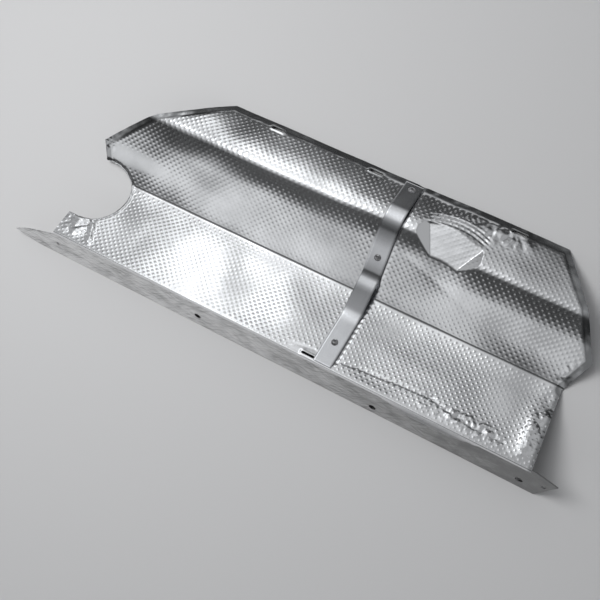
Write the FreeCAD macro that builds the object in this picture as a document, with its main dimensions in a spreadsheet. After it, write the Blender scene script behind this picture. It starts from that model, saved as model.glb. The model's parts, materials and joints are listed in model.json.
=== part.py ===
"""Formed heat shield: a waved aluminium panel crimped on a mounting rail, with a riveted strap across it.

It lies as it rests: the rail's lower edge and the panel's back edge are on z = 0. While the pieces are
drawn, X runs along the length from the middle of the strap, and Y runs back from the rail's lower edge.
The last placement moves the origin to the middle of the footprint. All lengths are in millimetres.
"""
import FreeCAD, Part
import math
import os

import Sketcher

# Driving dimensions, each set by itself
DIMENSIONS = {
    # Metal thicknesses
    "sheet_gauge": 0.8,
    "strap_gauge": 1.5,
    "rail_gauge": 1.5,
    # Wave section of the panel, from the crest at the rail to the back edge
    "lean_angle": 29.0,
    "front_run": 88.0,
    "valley_radius": 55.0,
    "riser_angle": 23.0,
    "riser_run": 92.0,
    "ridge_radius": 28.0,
    "back_angle": 36.0,
    "crest_radius": 1.2,
    # Plan outline of the panel, as reaches from the middle of the strap
    "back_left_reach": 238.0,
    "back_right_reach": 183.0,
    "left_ridge_reach": 313.0,
    "right_ridge_reach": 225.0,
    "left_corner_reach": 371.0,
    "left_corner_depth": 151.0,
    "left_tab_setback": 2.0,
    "left_front_reach": 364.0,
    "right_corner_reach": 255.0,
    "right_corner_depth": 152.0,
    "right_valley_reach": 239.0,
    "right_front_reach": 248.0,
    "notch_mouth": 14.0,
    "notch_depth": 92.0,
    "notch_radius": 38.0,
    # Folded edges
    "hem_width": 7.0,
    "lip_height": 3.0,
    "droop_middle": 130.0,
    "droop_length": 116.0,
    "droop_height": 13.0,
    # Stamped flat on the ridge
    "stamp_middle": 70.0,
    "stamp_floor_height": 26.0,
    "stamp_tilt_angle": 6.0,
    "stamp_front_length": 38.0,
    "stamp_back_length": 68.0,
    "stamp_width": 36.0,
    "stamp_back_bow": 6.0,
    "stamp_wall_height": 14.0,
    "stamp_end_slope": 30.0,
    "stamp_back_slope": 9.0,
    # Slots of the panel
    "slot_length": 18.0,
    "slot_width": 3.0,
    "back_slot_left": 176.0,
    "back_slot_middle": 47.0,
    "back_slot_right": 128.0,
    "back_slot_inset": 9.0,
    "front_slot_reach": 18.0,
    "front_slot_inset": 5.0,
    # Cross strap
    "strap_width": 22.0,
    "strap_front_gap": 2.5,
    "strap_back_gap": 4.0,
    # Rivets
    "shank_radius": 2.0,
    "rivet_clearance": 0.1,
    "head_radius": 4.0,
    "head_height": 1.8,
    "tail_radius": 3.2,
    "tail_height": 2.0,
    "front_rivet_distance": 32.0,
    "middle_rivet_distance": 50.0,
    "back_rivet_distance": 14.0,
    # Mounting rail
    "rail_height": 52.0,
    "rail_left_foot": 399.0,
    "rail_left_tip": 435.0,
    "rail_left_tip_height": 9.0,
    "rail_left_shoulder": 414.0,
    "rail_left_shoulder_height": 23.0,
    "rail_left_taper": 348.0,
    "rail_right_foot": 258.0,
    "rail_right_tip": 277.0,
    "rail_right_tip_height": 42.0,
    "rail_right_taper": 252.0,
    "rail_hole_radius": 4.3,
    "rail_end_hole_radius": 2.8,
}

# Rail holes: name, place along the length, height up the rail, radius
RAIL_HOLES = (
    ("first", -364.0, 25.0, "rail_end_hole_radius"),
    ("second", -164.0, 20.0, "rail_hole_radius"),
    ("third", 65.0, 12.0, "rail_hole_radius"),
    ("fourth", 239.0, 17.0, "rail_hole_radius"),
    ("last", 264.0, 28.0, "rail_end_hole_radius"),
)

# Sizes worked out from the driving ones
DERIVED = {
    "rail_lift": "rail_gauge * sin(lean_angle)",
    "valley_half": "(riser_angle + lean_angle) / 2",
    "valley_mid": "(riser_angle - lean_angle) / 2",
    "ridge_half": "(riser_angle + back_angle) / 2",
    "ridge_mid": "(riser_angle - back_angle) / 2",
    "crest_half": "90 / 2",
    "crest_mid": "crest_half - lean_angle",
    "crest_y": "rail_height * sin(lean_angle) - sheet_gauge * sin(crest_mid) / cos(crest_half)",
    "crest_z": "rail_lift + rail_height * cos(lean_angle) + sheet_gauge * cos(crest_mid) / cos(crest_half)",
    "valley_y": "crest_y + front_run",
    "valley_z": "crest_z - front_run * tan(lean_angle)",
    "ridge_y": "valley_y + riser_run",
    "ridge_z": "valley_z + riser_run * tan(riser_angle)",
    "back_z": "2 * sheet_gauge / cos(back_angle)",
    "back_y": "ridge_y + (ridge_z - back_z) / tan(back_angle)",
    "left_tab_reach": "left_front_reach - left_tab_setback",
    "notch_reach": "left_front_reach - notch_mouth",
    "form_margin": "10",
    "shift_x": "(rail_left_tip - rail_right_tip) / 2",
    "shift_y": "-back_y / 2",
}

SHEET = "Dims"
STEP_FOLDER = "parts"
YZ_TURN = FreeCAD.Rotation(FreeCAD.Vector(1, 1, 1), 120)
X_AXIS = FreeCAD.Vector(1, 0, 0)


def make_sheet(doc):
    """Write the driving dimensions and the sizes worked out from them to the spreadsheet."""
    sheet = doc.addObject("Spreadsheet::Sheet", SHEET)
    cells = {alias: str(value) for alias, value in DIMENSIONS.items()}
    for name, along, height, _ in RAIL_HOLES:
        cells[f"{name}_hole_x"] = str(along)
        cells[f"{name}_hole_height"] = str(height)
    cells.update({alias: f"={formula}" for alias, formula in DERIVED.items()})
    for row, (alias, content) in enumerate(cells.items(), start=1):
        sheet.set(f"A{row}", alias)
        sheet.set(f"B{row}", content)
        sheet.setAlias(f"B{row}", alias)
    doc.recompute()


def bound(formula):
    """Give the formula with each alias named through the spreadsheet."""
    words = []
    word = ""
    for mark in formula + " ":
        if mark.isalnum() or mark in "_.":
            word += mark
            continue
        is_alias = word in DIMENSIONS or word in DERIVED or word.endswith(("_hole_x", "_hole_height"))
        words.append(f"{SHEET}.{word}" if is_alias else word)
        words.append(mark)
        word = ""
    return "".join(words).strip()


def value_of(obj, formula):
    """Give the number that a formula has now."""
    return float(obj.evalExpression(bound(formula)))


def constrain(sketch, constraint, formula):
    """Add a constraint to a sketch and bind its value to a formula."""
    index = sketch.addConstraint(constraint)
    sketch.setExpression(f"Constraints[{index}]", bound(formula))


def draw_outline(sketch, corners, arcs=None):
    """Draw a closed outline whose corners are pairs of formulas, fully bound to the spreadsheet.

    arcs maps the number of a side to its centre's two formulas and whether it turns counterclockwise.
    """
    arcs = arcs or {}
    points = [FreeCAD.Vector(value_of(sketch, x), value_of(sketch, y), 0) for x, y in corners]
    count = len(points)
    ends = []
    for side in range(count):
        start, stop = points[side], points[(side + 1) % count]
        if side not in arcs:
            sketch.addGeometry(Part.LineSegment(start, stop), False)
            ends.append((1, 2))
            continue
        centre_x, centre_y, counterclockwise = arcs[side]
        centre = FreeCAD.Vector(value_of(sketch, centre_x), value_of(sketch, centre_y), 0)
        first, last = (start, stop) if counterclockwise else (stop, start)
        angles = [math.atan2(p.y - centre.y, p.x - centre.x) for p in (first, last)]
        circle = Part.Circle(centre, FreeCAD.Vector(0, 0, 1), (start - centre).Length)
        sketch.addGeometry(Part.ArcOfCircle(circle, angles[0], angles[1]), False)
        ends.append((1, 2) if counterclockwise else (2, 1))
    for side in range(count):
        following = (side + 1) % count
        joint = Sketcher.Constraint("Coincident", side, ends[side][1], following, ends[following][0])
        sketch.addConstraint(joint)
    for side, (x, y) in enumerate(corners):
        spot = (side, ends[side][0])
        constrain(sketch, Sketcher.Constraint("DistanceX", -1, 1, *spot, points[side].x), x)
        constrain(sketch, Sketcher.Constraint("DistanceY", -1, 1, *spot, points[side].y), y)
    for side, (centre_x, centre_y, _) in arcs.items():
        chord = points[(side + 1) % count] - points[side]
        if abs(chord.y) > abs(chord.x):
            across = Sketcher.Constraint("DistanceX", -1, 1, side, 3, value_of(sketch, centre_x))
            constrain(sketch, across, centre_x)
        else:
            across = Sketcher.Constraint("DistanceY", -1, 1, side, 3, value_of(sketch, centre_y))
            constrain(sketch, across, centre_y)


def free_sketch(doc, name, rotation=FreeCAD.Rotation()):
    """Make a sketch that stands on no body, turned into its plane."""
    sketch = doc.addObject("Sketcher::SketchObject", name)
    sketch.Placement = FreeCAD.Placement(FreeCAD.Vector(), rotation)
    return sketch


def extrude(doc, name, sketch, forward, backward="0"):
    """Extrude a sketch along its normal, both lengths being formulas."""
    block = doc.addObject("Part::Extrusion", name)
    block.Base = sketch
    block.DirMode = "Normal"
    block.Solid = True
    block.setExpression("LengthFwd", bound(forward))
    block.setExpression("LengthRev", bound(backward))
    return block


def boolean(doc, kind, name, base, tool):
    """Make a Part boolean of two objects."""
    result = doc.addObject(f"Part::{kind}", name)
    result.Base = base
    result.Tool = tool
    result.Refine = True
    return result


def place(obj, x, y, z, axis=X_AXIS, angle=None):
    """Bind an object's place, and its turn about an axis, to formulas."""
    obj.Placement = FreeCAD.Placement(FreeCAD.Vector(), FreeCAD.Rotation(axis, 1 if angle else 0))
    for letter, formula in zip("xyz", (x, y, z)):
        obj.setExpression(f"Placement.Base.{letter}", bound(formula))
    if angle:
        obj.setExpression("Placement.Rotation.Angle", f"({bound(angle)}) * 1 deg")


def settle(obj, label):
    """Label a finished sub-part that needs no turn, and move it to the footprint's middle."""
    obj.Label = label
    place(obj, "shift_x", "shift_y", "0")


def wave_corners(drop):
    """Give the tangent points and arc centres of the wave, at a depth under the top face."""
    valley_y = f"(valley_y + ({drop}) * sin(valley_mid) / cos(valley_half))"
    valley_z = f"(valley_z - ({drop}) * cos(valley_mid) / cos(valley_half))"
    ridge_y = f"(ridge_y + ({drop}) * sin(ridge_mid) / cos(ridge_half))"
    ridge_z = f"(ridge_z - ({drop}) * cos(ridge_mid) / cos(ridge_half))"
    valley = f"((valley_radius + ({drop})) * tan(valley_half))"
    ridge = f"((ridge_radius - ({drop})) * tan(ridge_half))"
    corners = [
        (f"{valley_y} - {valley} * cos(lean_angle)", f"{valley_z} + {valley} * sin(lean_angle)"),
        (f"{valley_y} + {valley} * cos(riser_angle)", f"{valley_z} + {valley} * sin(riser_angle)"),
        (f"{ridge_y} - {ridge} * cos(riser_angle)", f"{ridge_z} - {ridge} * sin(riser_angle)"),
        (f"{ridge_y} + {ridge} * cos(back_angle)", f"{ridge_z} - {ridge} * sin(back_angle)"),
    ]
    (front_y, front_z), _, (rear_y, rear_z), _ = corners
    valley_centre = (
        f"{front_y} + (valley_radius + ({drop})) * sin(lean_angle)",
        f"{front_z} + (valley_radius + ({drop})) * cos(lean_angle)",
    )
    ridge_centre = (
        f"{rear_y} + (ridge_radius - ({drop})) * sin(riser_angle)",
        f"{rear_z} - (ridge_radius - ({drop})) * cos(riser_angle)",
    )
    return corners, valley_centre, ridge_centre


def make_form(doc, name, drop, rounded_crest=False):
    """Make the solid under the panel's top face, at a depth under that face, from end to end."""
    corners, valley_centre, ridge_centre = wave_corners(drop)
    crest_y = f"(crest_y + ({drop}) * sin(crest_mid) / cos(crest_half))"
    crest_z = f"(crest_z - ({drop}) * cos(crest_mid) / cos(crest_half))"
    fall = "(rail_height + 2 * form_margin)"
    foot = (f"{crest_y} - {fall} * sin(lean_angle)", f"{crest_z} - {fall} * cos(lean_angle)")
    far_y = "back_y + form_margin"
    far_z = f"back_z - form_margin * tan(back_angle) - ({drop}) / cos(back_angle)"
    outline = [foot, (crest_y, crest_z), *corners, (far_y, far_z), (far_y, foot[1])]
    arcs = {2: (*valley_centre, True), 4: (*ridge_centre, False)}
    if rounded_crest:
        rise, run = "crest_radius * sin(lean_angle)", "crest_radius * cos(lean_angle)"
        before = (f"{crest_y} - {rise}", f"{crest_z} - {run}")
        after = (f"{crest_y} + {run}", f"{crest_z} - {rise}")
        centre = (f"{before[0]} + {run}", f"{before[1]} - {rise}")
        outline[1:2] = [before, after]
        arcs = {1: (*centre, False), 3: (*valley_centre, True), 5: (*ridge_centre, False)}
    sketch = free_sketch(doc, f"{name}Section", YZ_TURN)
    draw_outline(sketch, outline, arcs)
    return extrude(
        doc, name, sketch, "right_corner_reach + form_margin", "left_corner_reach + form_margin"
    )


def make_stamp(doc, name, drop):
    """Make the tool that flattens the ridge: a flat floor with sloped ends and a bowed back wall."""
    loft = doc.addObject("Part::Loft", name)
    outlines = []
    levels = (("Floor", "0", "0", "0"), ("Rim", "stamp_wall_height", "stamp_end_slope", "stamp_back_slope"))
    for level, height, end_slope, back_slope in levels:
        front = f"(stamp_front_length / 2 + {end_slope})"
        back = f"(stamp_back_length / 2 + {end_slope})"
        near = "-stamp_width / 2"
        far = f"(stamp_width / 2 - stamp_back_bow + {back_slope})"
        bow_radius = f"(({back} * {back} + stamp_back_bow * stamp_back_bow) / (2 * stamp_back_bow))"
        centre_y = f"{far} + stamp_back_bow - {bow_radius}"
        sketch = free_sketch(doc, f"{name}{level}")
        corners = [(f"-{front}", near), (front, near), (back, far), (f"-{back}", far)]
        draw_outline(sketch, corners, {2: ("0", centre_y, True)})
        sketch.setExpression("Placement.Base.z", bound(height))
        outlines.append(sketch)
    loft.Sections = outlines
    loft.Solid = True
    loft.Ruled = True
    place(loft, "stamp_middle", "ridge_y", f"stamp_floor_height - ({drop})", -X_AXIS, "stamp_tilt_angle")
    return loft


def make_plan(doc):
    """Make the upright block whose outline trims the panel, and the smaller one inside its hems."""
    near = "-form_margin"
    sketch = free_sketch(doc, "PlanOutline")
    corners = [
        ("-back_left_reach", "back_y"),
        ("back_right_reach", "back_y"),
        ("right_ridge_reach", "ridge_y"),
        ("right_corner_reach", "right_corner_depth"),
        ("right_valley_reach", "valley_y"),
        ("right_front_reach", near),
        ("-left_front_reach", near),
        ("-left_front_reach", "notch_depth - notch_radius"),
        ("-notch_reach", "notch_depth - notch_radius"),
        ("-notch_reach", "notch_depth + notch_radius"),
        ("-left_tab_reach", "notch_depth + notch_radius"),
        ("-left_corner_reach", "left_corner_depth"),
        ("-left_ridge_reach", "ridge_y"),
    ]
    draw_outline(sketch, corners, {8: ("-notch_reach", "notch_depth", True)})
    height = "crest_z + ridge_z"
    plan = extrude(doc, "Plan", sketch, height, "form_margin")
    inset = doc.addObject("Part::Offset2D", "HemLine")
    inset.Source = sketch
    inset.Join = "Intersection"
    inset.setExpression("Value", bound("-hem_width"))
    inner = extrude(doc, "PlanInsideHem", inset, height, height)
    return plan, inner


def make_slot(doc, name, x, y, z, axis, angle):
    """Make the tool for a round-ended slot along X, square to the face that it is turned to."""
    straight = "(slot_length - slot_width) / 2"
    low, high = "-slot_width / 2", "slot_width / 2"
    sketch = free_sketch(doc, f"{name}Outline")
    corners = [(f"-{straight}", low), (straight, low), (straight, high), (f"-{straight}", high)]
    draw_outline(sketch, corners, {1: (straight, "0", True), 3: (f"-{straight}", "0", True)})
    slot = extrude(doc, name, sketch, "form_margin / 2", "form_margin / 2")
    place(slot, x, y, z, axis, angle)
    return slot


def surface_spots():
    """Give the three rivet places: name, depth, height, axis and angle of the face's tilt."""
    return (
        ("front_rivet", "crest_y + front_rivet_distance * cos(lean_angle)",
         "crest_z - front_rivet_distance * sin(lean_angle)", -X_AXIS, "lean_angle"),
        ("middle_rivet", "valley_y + middle_rivet_distance * cos(riser_angle)",
         "valley_z + middle_rivet_distance * sin(riser_angle)", X_AXIS, "riser_angle"),
        ("back_rivet", "back_y - back_rivet_distance * cos(back_angle)",
         "back_z + back_rivet_distance * sin(back_angle)", -X_AXIS, "back_angle"),
    )


def make_rivet_holes(doc):
    """Make one group of cylinders, for the rivets' holes in the panel and the strap."""
    holes = []
    for name, y, z, axis, angle in surface_spots():
        bore = doc.addObject("Part::Cylinder", f"{name}_bore")
        bore.setExpression("Radius", bound("shank_radius + rivet_clearance"))
        bore.setExpression("Height", bound("form_margin"))
        side = "-1" if axis == X_AXIS else "1"
        middle = "form_margin / 2"
        start_y = f"{y} - {side} * {middle} * sin({angle})"
        start_z = f"{z} - {middle} * cos({angle})"
        place(bore, "0", start_y, start_z, axis, angle)
        holes.append(bore)
    group = doc.addObject("Part::MultiFuse", "RivetHoles")
    group.Shapes = holes
    return group


def make_lip_window(doc):
    """Make the tool that leaves only a narrow lip of the fold in front of the rail, with its droop."""
    lip = "(rail_height - lip_height)"
    reach = "(rail_left_tip + rail_right_tip)"
    left, right = "(droop_middle - droop_length / 2)", "(droop_middle + droop_length / 2)"
    radius = "((droop_length * droop_length / 4 + droop_height * droop_height) / (2 * droop_height))"
    corners = [
        (f"-{reach}", lip), (left, lip), (right, lip), (reach, lip),
        (reach, "-2 * form_margin"), (f"-{reach}", "-2 * form_margin"),
    ]
    sketch = free_sketch(doc, "LipWindowOutline")
    draw_outline(sketch, corners, {1: ("droop_middle", f"{lip} - droop_height + {radius}", True)})
    window = extrude(doc, "LipWindow", sketch, "form_margin", "rail_gauge / 2")
    place(window, "0", "0", "rail_lift", X_AXIS, "90 - lean_angle")
    return window


def make_panel(doc, rivet_holes):
    """Make the shield panel: the waved sheet, its stamped flat, hems, front lip, notch and slots."""
    top = make_form(doc, "TopForm", "0", rounded_crest=True)
    under = make_form(doc, "UnderForm", "sheet_gauge")
    hem_under = make_form(doc, "HemForm", "2 * sheet_gauge")
    stamped_top = boolean(doc, "Cut", "StampedTop", top, make_stamp(doc, "StampTop", "0"))
    stamped_under = boolean(doc, "Cut", "StampedUnder", under, make_stamp(doc, "StampUnder", "sheet_gauge"))
    blank = boolean(doc, "Cut", "SheetBlank", stamped_top, stamped_under)
    plan, inside_hem = make_plan(doc)
    trimmed = boolean(doc, "Common", "TrimmedSheet", blank, plan)
    hem_layer = boolean(doc, "Cut", "HemLayer", under, hem_under)
    hem_ring = boolean(doc, "Cut", "HemRing", plan, inside_hem)
    hem_zone = doc.addObject("Part::Box", "HemZone")
    reach = "(rail_left_tip + rail_right_tip)"
    for side, formula in (("Length", f"2 * {reach}"), ("Width", "back_y"), ("Height", reach)):
        hem_zone.setExpression(side, bound(formula))
    place(hem_zone, f"-{reach}", "valley_y", "-form_margin")
    banded = boolean(doc, "Common", "HemBand", hem_layer, hem_ring)
    hem = boolean(doc, "Common", "Hem", banded, hem_zone)
    hemmed = boolean(doc, "Fuse", "HemmedSheet", trimmed, hem)
    slots = []
    inset = "back_slot_inset"
    reaches = {"left": "-back_slot_left", "middle": "-back_slot_middle", "right": "back_slot_right"}
    for name, x in reaches.items():
        slots.append(make_slot(
            doc, f"BackSlot_{name}", x, f"back_y - {inset} * cos(back_angle)",
            f"back_z + {inset} * sin(back_angle)", -X_AXIS, "back_angle",
        ))
    inset = "front_slot_inset"
    slots.append(make_slot(
        doc, "FrontSlot", "-front_slot_reach", f"crest_y + {inset} * cos(lean_angle)",
        f"crest_z - {inset} * sin(lean_angle)", -X_AXIS, "lean_angle",
    ))
    tools = doc.addObject("Part::MultiFuse", "PanelCuts")
    tools.Shapes = [*slots, make_lip_window(doc), rivet_holes]
    panel = boolean(doc, "Cut", "ShieldPanel", hemmed, tools)
    settle(panel, "shield_panel")
    return panel


def make_strap(doc, rivet_holes):
    """Make the cross strap: a flat bar bent to lie along the panel's top face."""
    lower, valley_low, ridge_low = wave_corners("0")
    upper, valley_high, ridge_high = wave_corners("-strap_gauge")
    front_y = "(crest_y + strap_front_gap * cos(lean_angle))"
    front_z = "(crest_z - strap_front_gap * sin(lean_angle))"
    rear_y = "(back_y - strap_back_gap * cos(back_angle))"
    rear_z = "(back_z + strap_back_gap * sin(back_angle))"
    front_top = (f"{front_y} + strap_gauge * sin(lean_angle)", f"{front_z} + strap_gauge * cos(lean_angle)")
    rear_top = (f"{rear_y} + strap_gauge * sin(back_angle)", f"{rear_z} + strap_gauge * cos(back_angle)")
    corners = [(front_y, front_z), *lower, (rear_y, rear_z), rear_top, *reversed(upper), front_top]
    arcs = {
        1: (*valley_low, True), 3: (*ridge_low, False),
        7: (*ridge_high, True), 9: (*valley_high, False),
    }
    sketch = free_sketch(doc, "StrapSection", YZ_TURN)
    draw_outline(sketch, corners, arcs)
    bar = extrude(doc, "StrapBar", sketch, "strap_width / 2", "strap_width / 2")
    strap = boolean(doc, "Cut", "CrossStrap", bar, rivet_holes)
    settle(strap, "cross_strap")
    return strap


def origin_plane(body, role):
    """Give one of a body's origin planes by its role."""
    return next(plane for plane in body.Origin.OriginFeatures if plane.Role == role)


def body_sketch(body, name, role):
    """Make a sketch on one of a body's own origin planes."""
    sketch = body.newObject("Sketcher::SketchObject", name)
    sketch.AttachmentSupport = [(origin_plane(body, role), "")]
    sketch.MapMode = "FlatFace"
    return sketch


def make_rail(doc):
    """Make the mounting rail: a flat strip with drawn-out ends and bolt holes, leaning back."""
    body = doc.addObject("PartDesign::Body", "MountingRail")
    outline = body_sketch(body, "RailOutline", "XZ_Plane")
    draw_outline(outline, [
        ("-rail_left_foot", "0"),
        ("-rail_left_tip", "rail_left_tip_height"),
        ("-rail_left_shoulder", "rail_left_shoulder_height"),
        ("-rail_left_taper", "rail_height"),
        ("rail_right_taper", "rail_height"),
        ("rail_right_tip", "rail_right_tip_height"),
        ("rail_right_foot", "0"),
    ])
    strip = body.newObject("PartDesign::Pad", "RailStrip")
    strip.Profile = outline
    strip.Reversed = True
    strip.setExpression("Length", bound("rail_gauge"))
    doc.recompute()
    circles = body_sketch(body, "RailHoles", "XZ_Plane")
    for index, (name, along, height, radius) in enumerate(RAIL_HOLES):
        centre = FreeCAD.Vector(along, height, 0)
        size = value_of(circles, radius)
        circles.addGeometry(Part.Circle(centre, FreeCAD.Vector(0, 0, 1), size), False)
        constrain(circles, Sketcher.Constraint("DistanceX", -1, 1, index, 3, along), f"{name}_hole_x")
        constrain(circles, Sketcher.Constraint("DistanceY", -1, 1, index, 3, height), f"{name}_hole_height")
        constrain(circles, Sketcher.Constraint("Radius", index, size), radius)
    holes = body.newObject("PartDesign::Pocket", "RailBores")
    holes.Profile = circles
    holes.Type = "ThroughAll"
    holes.Midplane = True
    doc.recompute()
    body.Label = "mounting_rail"
    place(body, "shift_x", "shift_y", "rail_lift", -X_AXIS, "lean_angle")
    return body


def make_rivet(doc, name, y, z, axis, angle):
    """Make one rivet, its domed head on the strap and its set tail under the panel."""
    body = doc.addObject("PartDesign::Body", f"{name}_body")
    profile = body_sketch(body, f"{name}_profile", "XZ_Plane")
    seat, under = "strap_gauge", "-sheet_gauge"
    dome_radius = "((head_radius * head_radius + head_height * head_height) / (2 * head_height))"
    draw_outline(profile, [
        ("0", f"{under} - tail_height"),
        ("tail_radius", f"{under} - tail_height"),
        ("tail_radius", under),
        ("shank_radius", under),
        ("shank_radius", seat),
        ("head_radius", seat),
        ("0", f"{seat} + head_height"),
    ], {5: ("0", f"{seat} + head_height - {dome_radius}", True)})
    turned = body.newObject("PartDesign::Revolution", f"{name}_turned")
    turned.Profile = profile
    turned.ReferenceAxis = (profile, ["V_Axis"])
    turned.Angle = 360
    body.Label = name
    place(body, "shift_x", f"shift_y + {y}", z, axis, angle)
    return body


def check(doc, pieces):
    """Stop if any object failed or any sub-part's shape is empty or not valid."""
    for obj in doc.Objects:
        if {"Invalid", "Error"} & set(obj.State):
            raise RuntimeError(f"{obj.Name} failed: {obj.State}")
    for piece in pieces:
        if piece.Shape.isNull() or not piece.Shape.isValid():
            raise RuntimeError(f"{piece.Label} has no valid shape")


def main():
    """Build the document and write one STEP file for each sub-part."""
    doc = FreeCAD.newDocument("HeatShield")
    make_sheet(doc)
    rivet_holes = make_rivet_holes(doc)
    pieces = [make_panel(doc, rivet_holes), make_strap(doc, rivet_holes), make_rail(doc)]
    pieces += [make_rivet(doc, *spot) for spot in surface_spots()]
    doc.recompute()
    check(doc, pieces)
    os.makedirs(STEP_FOLDER, exist_ok=True)
    for piece in pieces:
        box = piece.Shape.BoundBox
        piece.Shape.exportStep(os.path.join(STEP_FOLDER, f"{piece.Label}.step"))
        print(f"{piece.Label}: {len(piece.Shape.Solids)} solid, {piece.Shape.Volume:.1f} mm3, "
              f"x {box.XMin:.2f} to {box.XMax:.2f}, y {box.YMin:.2f} to {box.YMax:.2f}, "
              f"z {box.ZMin:.2f} to {box.ZMax:.2f}")


main()
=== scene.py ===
"""Visual model of a formed heat shield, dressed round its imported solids.

An embossed aluminium sheet is pressed into a wave, hemmed, and crimped over a leaning rail, with a plain
strap riveted across it. Lengths are in metres. Each piece is shaped in shop coordinates, with X along the
length from the middle of the strap and Y back from the rail's lower edge, and then moved into the frame.
"""

import json
import logging
import math
from dataclasses import dataclass, replace
from enum import Enum

import bpy
import numpy as np
from mathutils import Matrix, Vector, noise

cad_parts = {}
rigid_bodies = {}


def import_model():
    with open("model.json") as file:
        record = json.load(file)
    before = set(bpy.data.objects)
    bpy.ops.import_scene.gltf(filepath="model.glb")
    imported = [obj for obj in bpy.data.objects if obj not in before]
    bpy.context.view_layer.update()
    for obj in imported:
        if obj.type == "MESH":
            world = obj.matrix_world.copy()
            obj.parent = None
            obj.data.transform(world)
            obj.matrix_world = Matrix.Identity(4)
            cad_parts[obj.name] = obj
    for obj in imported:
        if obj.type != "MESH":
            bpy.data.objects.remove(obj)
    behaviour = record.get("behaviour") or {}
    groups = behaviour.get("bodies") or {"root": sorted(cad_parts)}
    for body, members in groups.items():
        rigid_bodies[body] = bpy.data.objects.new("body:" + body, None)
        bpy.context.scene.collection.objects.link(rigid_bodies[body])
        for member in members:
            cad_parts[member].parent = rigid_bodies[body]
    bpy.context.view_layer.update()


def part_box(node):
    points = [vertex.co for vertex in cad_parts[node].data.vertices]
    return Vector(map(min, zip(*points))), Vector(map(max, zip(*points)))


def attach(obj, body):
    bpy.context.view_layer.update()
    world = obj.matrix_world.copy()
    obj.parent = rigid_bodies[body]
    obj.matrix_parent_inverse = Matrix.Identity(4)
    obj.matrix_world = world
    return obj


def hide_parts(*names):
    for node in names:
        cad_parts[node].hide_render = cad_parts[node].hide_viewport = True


Pair = tuple[float, float]
Triple = tuple[float, float, float]
Piece = bpy.types.Object
Socket = bpy.types.NodeSocket

MM = 0.001
BODY = "root"
FULL_TURN = 2 * math.pi
UP = Vector((0.0, 0.0, 1.0))
LATTICE = "lattice"
EMBOSSING = "embossing"
# Attribute of painted shade, which darkens the metal towards its dark colour
PAINTED_SHADE = "painted_shade"
CUT_TOLERANCE = 1e-6
PUNCH_MARGIN = 1.5
EDGE_ANGLE = math.radians(50.0)

log = logging.getLogger("heat_shield")


# Small sums


def mm(*values: float) -> tuple[float, ...]:
    """Give lengths of millimetres in metres."""
    return tuple(value * MM for value in values)


def mix(first: np.ndarray | float, second: np.ndarray | float, share: np.ndarray) -> np.ndarray:
    """Go from the first at a share of 0 to the second at a share of 1."""
    return first + (second - first) * share


def rise(low: float, high: float, values: np.ndarray) -> np.ndarray:
    """Ease from 0 at low to 1 at high.

    Args:
        low: Where the step starts.
        high: Where the step ends.
        values: The places along it.

    Returns:
        The step's height at each place.
    """
    share = np.clip((values - low) / (high - low), 0.0, 1.0)
    return share * share * (3.0 - 2.0 * share)


def away_from(points: np.ndarray, start: Pair, stop: Pair) -> np.ndarray:
    """Measure how far points are from a line between two points.

    Args:
        points: One row of x and y for each point.
        start: Where the line starts.
        stop: Where the line stops.

    Returns:
        The distance of each point.
    """
    begin = np.array(start)
    run = np.array(stop) - begin
    share = np.clip((points - begin) @ run / (run @ run), 0.0, 1.0)
    return np.linalg.norm(points - begin - share[:, None] * run, axis=1)


@dataclass(frozen=True)
class Ripple:
    """A smooth random unevenness: its height, the typical length of its humps, and which of many patterns."""

    height: float
    length: float
    seed: float

    def over(self, points: np.ndarray) -> np.ndarray:
        """Give the unevenness over a plane.

        Args:
            points: One row of x and y for each point.

        Returns:
            The height at each point.
        """
        length = self.length
        humps = [noise.noise((x / length, y / length, self.seed)) for x, y in points]
        return self.height * np.array(humps)


# Mesh tools


def make_active(obj: Piece) -> None:
    """Make one object the only selected and active one.

    Args:
        obj: The object.
    """
    bpy.ops.object.select_all(action="DESELECT")
    obj.select_set(True)
    bpy.context.view_layer.objects.active = obj


def rows_of(items: bpy.types.bpy_prop_collection, name: str) -> np.ndarray:
    """Read a vector of each vertex or face.

    Args:
        items: A mesh's vertices or faces.
        name: The vector's name.

    Returns:
        One row of x, y and z for each item.
    """
    flat = np.empty(len(items) * 3)
    items.foreach_get(name, flat)
    return flat.reshape(-1, 3)


def places_of(obj: Piece) -> np.ndarray:
    """Read an object's vertices, one row of x, y and z for each."""
    return rows_of(obj.data.vertices, "co")


def centres_of(obj: Piece) -> np.ndarray:
    """Read the middles of an object's faces, one row of x, y and z for each."""
    return rows_of(obj.data.polygons, "center")


def set_places(obj: Piece, places: np.ndarray) -> None:
    """Move an object's vertices to places, one row of x, y and z for each."""
    obj.data.vertices.foreach_set("co", places.ravel())
    obj.data.update()


def mark(obj: Piece, name: str, shares: np.ndarray) -> None:
    """Write a share for each vertex into an attribute that a finish reads."""
    layer = obj.data.attributes.new(name, "FLOAT", "POINT")
    layer.data.foreach_set("value", shares.astype(np.float32))


def all_faces(obj: Piece) -> np.ndarray:
    """Choose every face of an object."""
    return np.ones(len(obj.data.polygons), bool)


def edit_faces(obj: Piece, chosen: np.ndarray) -> None:
    """Enter edit mode with only the chosen faces selected.

    Args:
        obj: A mesh object in object mode.
        chosen: One truth value for each face.
    """
    make_active(obj)
    mesh = obj.data
    mesh.vertices.foreach_set("select", np.zeros(len(mesh.vertices), bool))
    mesh.edges.foreach_set("select", np.zeros(len(mesh.edges), bool))
    mesh.polygons.foreach_set("select", chosen)
    bpy.context.tool_settings.mesh_select_mode = (False, False, True)
    bpy.ops.object.mode_set(mode="EDIT")
    bpy.ops.mesh.select_mode(type="FACE")


def leave_edit() -> None:
    """Go back to object mode."""
    bpy.ops.object.mode_set(mode="OBJECT")


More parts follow.
